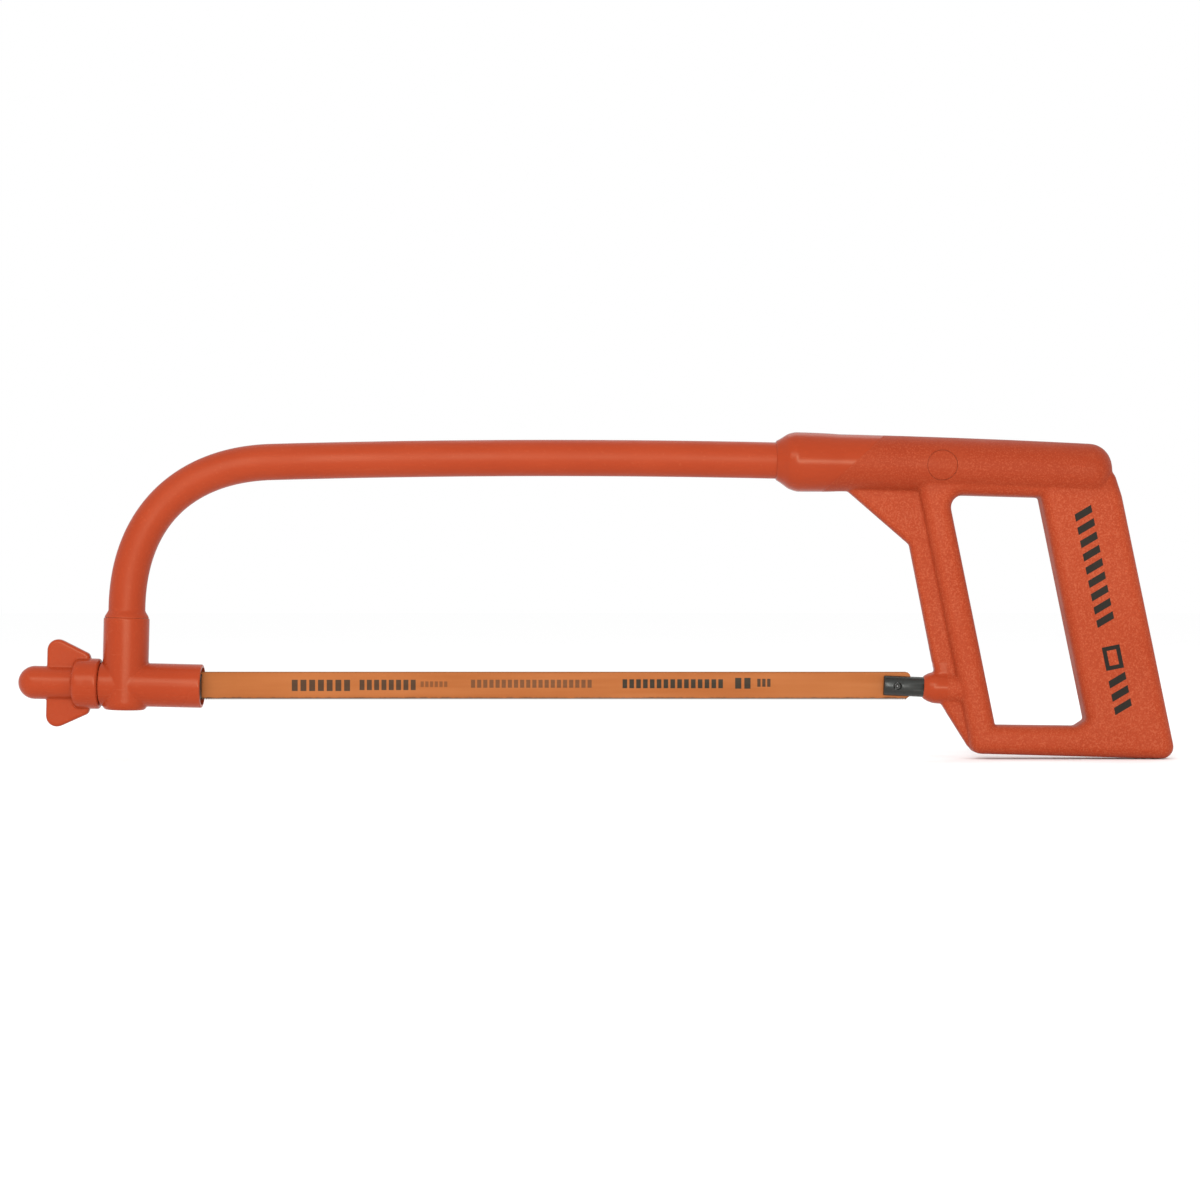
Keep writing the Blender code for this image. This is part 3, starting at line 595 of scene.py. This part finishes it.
def make_handle_plastic():
    """Spark-eroded texture, except on the nose in front of a slanted line and on the spigot's boss."""
    shader = Shader("handle_plastic")
    shader.surface.inputs["Specular IOR Level"].default_value = PLASTIC_SPECULAR
    shader.surface.inputs["Specular Tint"].default_value = WARM_SHEEN
    x, y, z = shader.axes()
    line_x = shader.math("MULTIPLY", shader.math("SUBTRACT", z, NOSE_LINE_Z), NOSE_LINE_SLOPE)
    ahead = shader.math("SUBTRACT", line_x, shader.math("SUBTRACT", x, NOSE_LINE_X))
    polished = shader.ramp(ahead, -0.00015, 0.00015)
    boss_share = shader.ramp(x, BOSS_SMOOTH_TO, BOSS_SMOOTH_TO + BOSS_SMOOTH_FADE, 1.0, 0.0)
    at_boss = shader.math("MULTIPLY", boss_share, shader.math("LESS_THAN", z, BOSS_SMOOTH_TOP))
    polished = shader.math("MAXIMUM", polished, at_boss)
    texture = shader.math("SUBTRACT", 1.0, polished)
    grain = shader.noise(1650.0, 3.0, 0.65)
    crest_share = shader.ramp(z, TUBE_TONE_FROM, TUBE_TONE_TO, 0.80, 0.45)
    crests = shader.math("MULTIPLY", shader.ramp(grain, 0.49, 0.64), crest_share)
    pits = shader.math("MULTIPLY", shader.ramp(grain, 0.36, 0.50, 1.0, 0.0), 0.40)
    on_tube = shader.math("MULTIPLY", shader.ramp(z, TUBE_TONE_FROM, TUBE_TONE_TO),
                          shader.blend(polished, 0.40, 0.15))
    tone = shader.mix(on_tube, plastic_tone(shader), TUBE_RED_AND_CORNER_SHADE)
    tone = shader.mix(shader.math("MULTIPLY", crests, texture), tone, ORANGE_LIGHT)
    tone = shader.mix(shader.math("MULTIPLY", pits, texture), tone, ORANGE_DEEP)
    tone = shader.mix(print_mask(shader, x, y, z), tone, INK)
    textured_rough = shader.ramp(shader.noise(60.0), 0.3, 0.7, 0.46, 0.56)
    rough = shader.blend(polished, textured_rough, 0.24)
    height = shader.math("MULTIPLY", grain, shader.math("MULTIPLY", texture, 0.9))
    height = shader.math("ADD", height, shader.math("MULTIPLY", polished, 0.8))
    height = shader.math("ADD", height, shader.noise(70.0, 2.0))
    height = shader.math("ADD", height, parting_line(shader, y))
    shader.bump(height, 0.00014, 0.6)
    return shader.finish(tone, rough)


def between(shader, value, low, high):
    """1 where a value lies in a range."""
    above = shader.math("GREATER_THAN", value, low)
    return shader.math("MULTIPLY", above, shader.math("LESS_THAN", value, high))


def print_row(shader, along, across, start, count):
    """Row of plain slanted bars that starts at a distance along the grip."""
    slanted = shader.math("ADD", along, shader.math("MULTIPLY", across, PRINT_SLANT))
    local = shader.math("SUBTRACT", slanted, start)
    share = shader.math("FRACT", shader.math("DIVIDE", local, PRINT_PERIOD))
    bars = shader.math("MULTIPLY", between(shader, share, 0.0, PRINT_BAR_SHARE),
                       between(shader, local, 0.0, PRINT_PERIOD * count))
    return shader.math("MULTIPLY", bars, between(shader, across, -PRINT_HALF_WIDTH, PRINT_HALF_WIDTH))


def print_box(shader, along, across, inset):
    """Filled rectangle of the ring's size, drawn in by an inset."""
    half_width = PRINT_HALF_WIDTH - inset
    return shader.math("MULTIPLY", between(shader, along, RING_START + inset, RING_END - inset),
                       between(shader, across, -half_width, half_width))


def print_mask(shader, x, y, z):
    """Plain slanted bars and a ring of print on the near flank, along the leaning grip."""
    dx = shader.math("SUBTRACT", x, PRINT_START.x)
    dz = shader.math("SUBTRACT", z, PRINT_START.z)
    along = shader.math("SUBTRACT", shader.math("MULTIPLY", dx, math.sin(PRINT_LEAN)),
                        shader.math("MULTIPLY", dz, math.cos(PRINT_LEAN)))
    across = shader.math("ADD", shader.math("MULTIPLY", dx, math.cos(PRINT_LEAN)),
                         shader.math("MULTIPLY", dz, math.sin(PRINT_LEAN)))
    marks = shader.math("SUBTRACT", print_box(shader, along, across, 0.0),
                        print_box(shader, along, across, RING_LINE), clamp=True)
    for start, count in PRINT_ROWS:
        marks = shader.math("MAXIMUM", marks, print_row(shader, along, across, start, count))
    near = shader.math("LESS_THAN", y, 0.0005 - GRIP_HALF_THICKNESS)
    return shader.math("MULTIPLY", marks, near)


def make_blade_paint():
    """Brown-orange lacquer on rolled steel, with painted shade as a dark band along the teeth and a
    thin dark line along the back edge.
    """
    shader = Shader("blade_paint")
    x, y, z = shader.axes()
    streaks = shader.noise(300.0, 4.0, 0.6, shader.stretched((0.04, 1.0, 1.0)))
    clouds = shader.noise(22.0, 4.0)
    tone = shader.mix(shader.ramp(streaks, 0.35, 0.65, 0.0, 0.5), BLADE_BROWN, BLADE_DARK)
    tone = shader.mix(shader.ramp(clouds, 0.4, 0.7, 0.0, 0.35), tone, BLADE_PALE)
    tone = shader.mix(blade_print(shader, x, y, z), tone, BLADE_INK)
    # Painted shade along the teeth: a dark band with a wavering top, standing for the shade in the
    # tooth gullets
    waver = shader.math("MULTIPLY", shader.noise(800.0, 3.0), TOOTH_SHADE_WAVER)
    tooth_low, tooth_high = (BLADE_LOW.z + rise for rise in TOOTH_SHADE_BAND)
    tooth_shade = shader.ramp(shader.math("ADD", z, waver), tooth_low, tooth_high, 0.9, 0.0)
    tone = shader.mix(tooth_shade, tone, EDGE_SHADE_BROWN)
    # Painted shade: thin dark line along the blade's back edge
    edge_low, edge_high = (BLADE_HIGH.z - drop for drop in BACK_EDGE_SHADE)
    tone = shader.mix(shader.ramp(z, edge_low, edge_high, 0.0, 0.6), tone, EDGE_SHADE_BROWN)
    shader.surface.inputs["Specular IOR Level"].default_value = BLADE_SPECULAR
    shader.surface.inputs["Specular Tint"].default_value = WARM_SHEEN
    rough = shader.ramp(streaks, 0.3, 0.7, 0.34, 0.50)
    shader.bump(streaks, 0.00002, 0.5)
    return shader.finish(tone, rough)


def blade_print(shader, x, y, z):
    """Rows of plain bars along the blade's near side, in place of printed data."""
    height = shader.math("SUBTRACT", z, (BLADE_LOW.z + BLADE_HIGH.z) / 2)
    mask = 0.0
    for start, count, period, tall, rise, strength in BLADE_ROWS:
        local = shader.math("SUBTRACT", x, start)
        share = shader.math("FRACT", shader.math("DIVIDE", local, period))
        row = shader.math("MULTIPLY", between(shader, local, 0.0, count * period),
                          between(shader, share, *BLADE_BAR_SHARE))
        row = shader.math("MULTIPLY", row, between(shader, height, rise - tall / 2, rise + tall / 2))
        mask = shader.math("MAXIMUM", mask, shader.math("MULTIPLY", row, strength))
    return shader.math("MULTIPLY", mask, shader.math("LESS_THAN", y, 0.0))


def make_metal(name, colour, rough, metallic=1.0, marks=(1.0, 1.0, 1.0)):
    """Machined metal with tool marks stretched along chosen axes."""
    shader = Shader(name)
    lines = shader.noise(1200.0, 4.0, 0.6, shader.stretched(marks))
    stain = shader.noise(160.0, 4.0)
    dark = tuple(0.72 * c for c in colour)
    tone = shader.mix(shader.ramp(stain, 0.35, 0.7, 0.0, 0.7), colour, dark)
    edge = shader.node("ShaderNodeNewGeometry").outputs["Pointiness"]
    light = tuple(min(1.0, 1.7 * c + 0.01) for c in colour)
    tone = shader.mix(shader.ramp(edge, 0.52, 0.60, 0.0, 0.7), tone, light)
    shader.surface.inputs["Metallic"].default_value = metallic
    shader.bump(lines, 0.00003, 0.6)
    return shader.finish(tone, shader.ramp(lines, 0.3, 0.7, rough - 0.06, rough + 0.10))


# Pieces ----------------------------------------------------------------------------------------


def leg_point(height):
    """Point of the bow's leg, at a height over the tension rod's axis."""
    x = TENSION_POINT.x + height * math.sin(TILT)
    return Vector((x, TENSION_POINT.z + height * math.cos(TILT)))


def run_point(x):
    """Point of the bow's cambered run."""
    return Vector((x, APEX_Z - CAMBER_RADIUS + math.sqrt(CAMBER_RADIUS ** 2 - (x - APEX_X) ** 2)))


def run_points(start_x, end_x, steps):
    return [run_point(start_x + (end_x - start_x) * step / steps) for step in range(steps + 1)]


def bend_points(steps):
    """Bend between the leg and the run, tightest in its middle."""
    start = leg_point(LEG_LENGTH)
    end = run_point(BEND_END_X)
    ahead = run_point(BEND_END_X + BEND_RUN_HANDLE) - end
    curve = interpolate_bezier(start, leg_point(LEG_LENGTH + BEND_LEG_HANDLE), end - ahead, end, steps)
    return [point.to_2d() for point in curve]


def make_sleeve(plastic):
    """Sleeve that flares over the collar's top edge, and thins a little where it was bent."""
    foot = COLLAR_TOP + 0.2 * SEAM
    stations = [(SLEEVE_SEAT + GAP, SLEEVE_RADIUS), (foot - 0.2 * SEAM, SLEEVE_RADIUS),
                (foot, FLARE_RADIUS), (foot + FLARE_LIP, FLARE_RADIUS)]
    flare_steps = 10
    for step in range(1, flare_steps + 1):
        share = step / flare_steps
        height = foot + FLARE_LIP + (FLARE_TOP - foot - FLARE_LIP) * share
        ease = share * share * (3 - 2 * share)
        taper = 0.6 * share + 0.4 * ease
        stations.append((height, FLARE_RADIUS + (SLEEVE_RADIUS - FLARE_RADIUS) * taper))
    path = [leg_point(height) for height, _ in stations]
    radii = [radius for _, radius in stations]
    bend = bend_points(60)
    run = run_points(BEND_END_X, SLEEVE_END_X, 60)[1:]
    path += bend + run
    thinning = [math.sin(math.pi * i / (len(bend) - 1)) ** 2 for i in range(len(bend))]
    radii += [SLEEVE_RADIUS - BEND_THINNING * share for share in thinning]
    radii += [SLEEVE_RADIUS] * len(run)
    piece = add_mesh("bow_sleeve_skin", tube_along(path, radii, CORE_RADIUS + GAP))
    declare(piece, plastic, "bow_sleeve")


def tube_axis_z(x):
    """Height of the handle tube's centre: on the bow at the nose, then drooping to the rear."""
    run = x - TUBE_AXIS_X
    height = TUBE_AXIS_Z - TUBE_SLOPE * run - TUBE_DROOP * run * run
    nose_share = max(0.0, run / (HANDLE_LEFT - TUBE_AXIS_X))
    return height + (run_point(HANDLE_LEFT).y - height) * nose_share


def tube_stations():
    """Places and radii along the handle's tube: blunt nose, long barrel, rounded rear end."""
    start = HANDLE_LEFT
    nose = [
        (start, SLEEVE_RADIUS + GAP + 0.0002),
        (start + 0.0024, 0.0096),
        (start + 0.0050, 0.0114),
        (start + 0.0068, 0.0121),
        (start + 0.0084, 0.0125),
        (start + 0.0110, 0.0126),
        (start + 0.0210, 0.0124),
        (start + 0.0270, TUBE_RADIUS),
    ]
    stations = smooth_path(nose, 5)
    barrel_start = nose[-1][0]
    barrel_end = TUBE_END_X - TUBE_END_ROUNDING
    barrel_steps = 15
    for step in range(1, barrel_steps + 1):
        share = step / barrel_steps
        x = barrel_start + (barrel_end - barrel_start) * share
        stations.append((x, TUBE_RADIUS + (TUBE_END_RADIUS - TUBE_RADIUS) * share))
    end_steps = 16
    for step in range(1, end_steps + 1):
        angle = math.radians(90) * step / end_steps
        x = barrel_end + TUBE_END_ROUNDING * math.sin(angle)
        stations.append((x, TUBE_END_RADIUS - TUBE_END_ROUNDING * (1 - math.cos(angle))))
    return stations


def handle_tube():
    bm = bmesh.new()
    rings = []
    for x, radius in tube_stations():
        points = circle_points(radius, 96)
        rings.append([bm.verts.new((x, y, tube_axis_z(x) + z)) for y, z in points])
    for first, second in zip(rings, rings[1:]):
        bridge(bm, first, second)
    bm.faces.new(rings[0])
    bm.faces.new(rings[-1])
    return bm


def frame_outline():
    return rounded_outline([
        (0.1337, 0.1280, 0.0),
        (0.1592, 0.0021, 0.0051),
        (0.2457, -0.0002, 0.0051),
        (0.2227, 0.1108, 0.0100),
        (0.2196, 0.1205, 0.0060),
        (0.2105, 0.1265, 0.0),
    ])


def finger_opening():
    return rounded_outline([
        (0.1494, 0.1115, 0.0052),
        (0.1884, 0.1104, 0.0),
        (0.2076, 0.0164, 0.0008),
        (0.2035, 0.0137, 0.0008),
        (0.1692, 0.0141, 0.0),
    ])


def web_outline():
    return rounded_outline([
        (0.0993, 0.1200, 0.0),
        (0.1333, 0.0905, 0.0012),
        (0.1465, 0.0234, 0.0060),
        (0.1587, 0.0041, 0.0030),
        (0.1645, 0.0040, 0.0),
        (0.1430, 0.1200, 0.0),
    ])


def screw_matrix(turn):
    return Matrix.Translation((SCREW.x, 0.0, SCREW.z)) @ turn


def handle_bores():
    """All the bores of the handle as one cutter."""
    start = HANDLE_LEFT - 0.010
    core_path = run_points(start, CORE_END_X + GAP, 12)
    bores = add_mesh("bores", tube_along(core_path, CORE_RADIUS + GAP))
    sleeve_path = run_points(start, SLEEVE_END_X + GAP, 8)
    carve(bores, "UNION", tube_along(sleeve_path, SLEEVE_RADIUS + SEAM, segments=96))
    carve(bores, "UNION", drill(SCREW_HOLE, -0.01, 0.01), screw_matrix(ALONG_Y))
    for turn in (ALONG_Y, AGAINST_Y):
        counterbore = drill(PLUG_RADIUS + SEAM * 0.8, SCREW_SEAT, 0.020, 96)
        carve(bores, "UNION", counterbore, screw_matrix(turn))
    spigot_bore = drill(SPIGOT_RADIUS + SEAM, BOSS_LEFT - 0.001, SPIGOT_RIGHT + GAP, 96)
    carve(bores, "UNION", spigot_bore, spigot_matrix())
    anchor_end = ANCHOR_HALF_LENGTH + GAP
    carve(bores, "UNION", drill(PIN_HOLE_RADIUS, -anchor_end, anchor_end),
          spigot_matrix() @ Matrix.Translation((ANCHOR_OFFSET, 0.0, 0.0)) @ ALONG_Y)
    return bores


def make_handle(plastic):
    piece = add_mesh("handle_moulding", handle_tube())
    thick_frame = rounded_plate([frame_outline(), finger_opening()], GRIP_HALF_THICKNESS, GRIP_EDGE)
    carve(piece, "UNION", thick_frame)
    carve(piece, "UNION", rounded_plate([web_outline()], WEB_HALF_THICKNESS, WEB_EDGE))
    carve(piece, "UNION", turned([
        (BOSS_LEFT, BOSS_RADIUS - 0.0021),
        (BOSS_LEFT + 0.0010, BOSS_RADIUS - 0.0015),
        (BOSS_LEFT + 0.0022, BOSS_RADIUS - 0.0008),
        (BOSS_LEFT + 0.0042, BOSS_RADIUS - 0.0002),
        (BOSS_LEFT + 0.0058, BOSS_RADIUS),
        (ANCHOR_OFFSET + 0.0020, BOSS_RADIUS),
    ]), spigot_matrix())
    mould(piece, HANDLE_VOXEL, 5)
    carve_with(piece, "DIFFERENCE", handle_bores())
    declare(piece, plastic, "handle")


def tube_radius(x):
    """Radius of the handle's tube at a place along it."""
    for (low, before), (high, after) in zip(tube_stations(), tube_stations()[1:]):
        if low <= x <= high:
            return before + (after - before) * (x - low) / (high - low)
    return TUBE_END_RADIUS


def make_plug(name, side, plastic, node):
    """Plug whose face follows the tube's surface, with a fine rounded rim."""
    bm = bmesh.new()
    segments = 96
    flat = PLUG_RADIUS - PLUG_RIM
    face = [(PLUG_RADIUS * share, 0.0) for share in (0.02, 0.25, 0.5, 0.75)] + [(flat, 0.0)]
    rim_steps = 4
    for step in range(1, rim_steps + 1):
        angle = math.radians(90) * step / rim_steps
        face.append((flat + PLUG_RIM * math.sin(angle), PLUG_RIM * (1 - math.cos(angle))))
    rings = []
    for radius, drop in face:
        ring = []
        for dx, dz in circle_points(radius, segments):
            height = SCREW.z + dz - tube_axis_z(SCREW.x + dx)
            surface = math.sqrt(tube_radius(SCREW.x + dx) ** 2 - height ** 2)
            ring.append(bm.verts.new((SCREW.x + dx, side * (surface - drop), SCREW.z + dz)))
        rings.append(ring)
    back = []
    for dx, dz in circle_points(PLUG_RADIUS, segments):
        back.append(bm.verts.new((SCREW.x + dx, side * PLUG_INNER, SCREW.z + dz)))
    rings.append(back)
    for first, second in zip(rings, rings[1:]):
        bridge(bm, first, second)
    bm.faces.new(rings[0])
    bm.faces.new(rings[-1])
    declare(add_mesh(name, bm), plastic, node)


def make_spigot(steel):
    """Turned bar with a slot for the blade, a pin hole with a dimple each side, and an anchor hole."""
    piece = add_mesh("spigot_bar", turned([
        (SPIGOT_LEFT, SPIGOT_RADIUS - SPIGOT_CHAMFER),
        (SPIGOT_LEFT + 0.3 * SPIGOT_CHAMFER, SPIGOT_RADIUS - 0.45 * SPIGOT_CHAMFER),
        (SPIGOT_LEFT + SPIGOT_CHAMFER, SPIGOT_RADIUS),
        (SPIGOT_RIGHT, SPIGOT_RADIUS),
    ]))
    half = SLOT_WIDTH / 2
    slot = block((SPIGOT_LEFT - 0.01, -half, -0.01), (SPIGOT_SLOT_END, half, 0.01))
    carve(piece, "DIFFERENCE", slot)
    carve(piece, "DIFFERENCE", drill(PIN_HOLE_RADIUS), ALONG_Y)
    for turn in (ALONG_Y, AGAINST_Y):
        dimple = turned([(SPIGOT_RADIUS - DIMPLE_HALF_DEPTH, DIMPLE_INNER_RADIUS),
                         (SPIGOT_RADIUS + DIMPLE_HALF_DEPTH, DIMPLE_OUTER_RADIUS)])
        carve(piece, "DIFFERENCE", dimple, turn)
    anchor = Matrix.Translation((ANCHOR_OFFSET, 0.0, 0.0)) @ ALONG_Y
    carve(piece, "DIFFERENCE", drill(PIN_HOLE_RADIUS), anchor)
    piece.data.transform(spigot_matrix())
    declare(piece, steel, "rear_spigot")


def make_rear_pin(steel):
    """Pin that the blade hooks on, with a rounded edge and a centre mark at each end."""
    half_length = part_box("rear_blade_pin")[1].y
    end = [(0.0006, 0.0003), (0.0002, 0.0007), (0.0, 0.0010), (0.00015, 0.00128),
           (0.0004, PIN_RADIUS)]
    near = [(depth - half_length, radius) for depth, radius in end]
    far = [(half_length - depth, radius) for depth, radius in reversed(end)]
    pin = turned(near + far, segments=48)
    piece = add_mesh("rear_pin_turned", pin, None, spigot_matrix() @ ALONG_Y)
    declare(piece, steel, "rear_blade_pin")


def make_tee(plastic):
    """T-shaped moulding with a socket for the bow and a through arm for the tension rod."""
    piece = add_mesh("tee_moulding", turned([
        (COLLAR_BOTTOM, COLLAR_RADIUS - 0.0021),
        (COLLAR_BOTTOM + 0.0002, COLLAR_RADIUS - 0.0014),
        (COLLAR_BOTTOM + 0.0007, COLLAR_RADIUS - 0.0008),
        (COLLAR_BOTTOM + 0.0015, COLLAR_RADIUS - 0.0003),
        (COLLAR_BOTTOM + 0.0028, COLLAR_RADIUS),
        (COLLAR_TOP - 0.0004, COLLAR_RADIUS),
        (COLLAR_TOP, COLLAR_RADIUS - 0.0003),
    ]), None, tension_matrix() @ ALONG_Z)
    arm_left = ARM_LEFT - 0.6 * SEAM
    carve(piece, "UNION", turned([
        (arm_left, ARM_RADIUS - TEE_ARM_EDGE),
        (arm_left + TEE_ARM_EDGE, ARM_RADIUS),
        (ARM_MOUTH - TEE_ARM_EDGE, ARM_RADIUS),
        (ARM_MOUTH, ARM_RADIUS - TEE_ARM_EDGE),
    ]), tension_matrix())
    mould(piece, TEE_VOXEL, 4)
    bores = add_mesh("bores", turned([
        (0.0, CORE_RADIUS + GAP),
        (SLEEVE_SEAT, CORE_RADIUS + GAP),
        (SLEEVE_SEAT, SLEEVE_RADIUS + SEAM),
        (COLLAR_TOP + 0.001, SLEEVE_RADIUS + SEAM),
    ]), None, tension_matrix() @ ALONG_Z)
    carve(bores, "UNION", turned([
        (ARM_LEFT - 0.001, BUSH_RADIUS + GAP),
        (BUSH_RIGHT + GAP, BUSH_RADIUS + GAP),
        (BUSH_RIGHT + GAP, ARM_BORE),
        (ARM_MOUTH + 0.001, ARM_BORE),
    ]), tension_matrix())
    carve_with(piece, "DIFFERENCE", bores)
    declare(piece, plastic, "tee_cover")


def make_wing_nut(plastic):
    """Wing nut with a domed stem and a rounded collar, hollowed for its insert and the rod."""
    dome_steps = 20
    dome = [(NUT_TIP, 0.0004)]
    for step in range(1, dome_steps + 1):
        angle = math.radians(90) * step / dome_steps
        dome.append((NUT_TIP + STEM_RADIUS * (1 - math.cos(angle)), STEM_RADIUS * math.sin(angle)))
    left = NUT_COLLAR_LEFT
    right = NUT_COLLAR_RIGHT + 1.8 * SEAM
    collar = smooth_path([
        (left, STEM_RADIUS),
        (left + 0.0003, NUT_COLLAR_RADIUS - 0.0016),
        (left + 0.0009, NUT_COLLAR_RADIUS - 0.0006),
        (left + 0.0021, NUT_COLLAR_RADIUS),
        (left + 0.0060, NUT_COLLAR_RADIUS),
        (right - 0.0012, NUT_COLLAR_RADIUS),
        (right - 0.0004, NUT_COLLAR_RADIUS - 0.0003),
        (right, NUT_COLLAR_RADIUS - 0.0010),
    ], 4)
    piece = add_mesh("wing_nut_moulding", turned(dome + collar))
    wings = rounded_outline([
        (WING_LEFT, -WING_OUTER, WING_OUTER_CORNER),
        (WING_RIGHT, -WING_INNER, WING_INNER_CORNER),
        (WING_RIGHT, WING_INNER, WING_INNER_CORNER),
        (WING_LEFT, WING_OUTER, WING_OUTER_CORNER),
    ])
    carve(piece, "UNION", rounded_plate([wings], WING_HALF_THICKNESS, WING_EDGE))
    mould(piece, NUT_VOXEL, 6)
    bores = add_mesh("bores", drill(*MOUTH_BORE))
    insert_radius = INSERT_HALF_FLATS / math.cos(math.radians(30))
    carve(bores, "UNION", drill(insert_radius, *INSERT_POCKET, segments=6))
    carve(bores, "UNION", drill(*ROD_BORE))
    carve_with(piece, "DIFFERENCE", bores)
    piece.data.transform(tension_matrix())
    declare(piece, plastic, "wing_nut_cover", "wing_nut")


# Stage -----------------------------------------------------------------------------------------


def add_light(name, place, size, power):
    light = bpy.data.lights.new(name, "AREA")
    light.shape = "RECTANGLE"
    light.size, light.size_y = size
    light.energy = power
    lamp = bpy.data.objects.new(name, light)
    lamp.location = place
    aim = VIEW_CENTRE - Vector(place)
    lamp.rotation_euler = aim.to_track_quat("-Z", "Y").to_euler()
    bpy.context.scene.collection.objects.link(lamp)


def light_place(azimuth, elevation, distance):
    """Place round the view's centre. Azimuth 0 is in front of the saw, positive is to the right."""
    azimuth = math.radians(azimuth)
    elevation = math.radians(elevation)
    flat = distance * math.cos(elevation)
    return VIEW_CENTRE + Vector((flat * math.sin(azimuth), -flat * math.cos(azimuth),
                                 distance * math.sin(elevation)))


def make_stage():
    camera = bpy.data.cameras.new("camera")
    camera.lens = CAMERA_LENS
    camera.sensor_width = CAMERA_SENSOR
    eye = bpy.data.objects.new("camera", camera)
    eye.location = VIEW_CENTRE - Vector((0.0, CAMERA_DISTANCE, 0.0))
    eye.rotation_euler = (math.radians(90), 0.0, 0.0)
    bpy.context.scene.collection.objects.link(eye)
    bpy.context.scene.camera = eye

    world = bpy.data.worlds.new("studio")
    world.use_nodes = True
    backdrop = world.node_tree.nodes["Background"]
    backdrop.inputs["Color"].default_value = (1.0, 1.0, 1.0, 1.0)
    backdrop.inputs["Strength"].default_value = 1.0
    bpy.context.scene.world = world
    bpy.context.scene.view_settings.view_transform = "Standard"

    shader = Shader("floor_white")
    floor_tone = shader.mix(shader.noise(3.0), FLOOR_DIM, FLOOR_BRIGHT)
    shader.surface.inputs["Specular IOR Level"].default_value = 0.0
    shader.finish(floor_tone, 0.9)
    bm = bmesh.new()
    bmesh.ops.create_circle(bm, cap_ends=True, radius=FLOOR_RADIUS, segments=64)
    floor = add_mesh("floor", bm, shader.material, Matrix.Translation((0.0, 0.0, -FLOOR_DROP)))
    for name, azimuth, elevation, distance, size, power in LIGHTS:
        add_light(name, light_place(azimuth, elevation, distance), size, power)


def dress_cad(node, material):
    mesh = frame["nodes"][node].data
    mesh.materials.clear()
    mesh.materials.append(material)


def main():
    make_stage()
    sleeve_plastic = make_smooth_plastic("sleeve_plastic", False, 0.36, 0.46)
    moulded_plastic = make_smooth_plastic("moulded_plastic", True, 0.22, 0.30)
    handle_plastic = make_handle_plastic()
    blade_paint = make_blade_paint()
    zinc = make_metal("zinc_steel", ZINC, 0.30, marks=(1.0, 0.15, 0.15))
    pin_steel = make_metal("pin_steel", PIN_GREY, 0.38, marks=(0.15, 1.0, 0.15))
    black = make_metal("black_steel", BLACKENED, 0.32, 0.45, marks=(1.0, 0.1, 0.1))
    brass = make_metal("brass", BRASS, 0.28, marks=(1.0, 0.15, 0.15))

    make_sleeve(sleeve_plastic)
    make_tee(moulded_plastic)
    make_wing_nut(moulded_plastic)
    make_handle(handle_plastic)
    make_plug("plug_near_cap", -1, handle_plastic, "screw_plug_near")
    make_plug("plug_far_cap", 1, handle_plastic, "screw_plug_far")
    make_spigot(black)
    make_rear_pin(pin_steel)
    dress_cad("blade", blade_paint)
    dress_cad("tension_rod", black)
    dress_cad("wing_nut_insert", brass)
    for node in ("bow_core", "guide_bush", "front_blade_pin", "spigot_anchor_pin", "thrust_washer",
                 "handle_screw", "handle_washer", "handle_nut", "crush_sleeve"):
        dress_cad(node, zinc)


main()
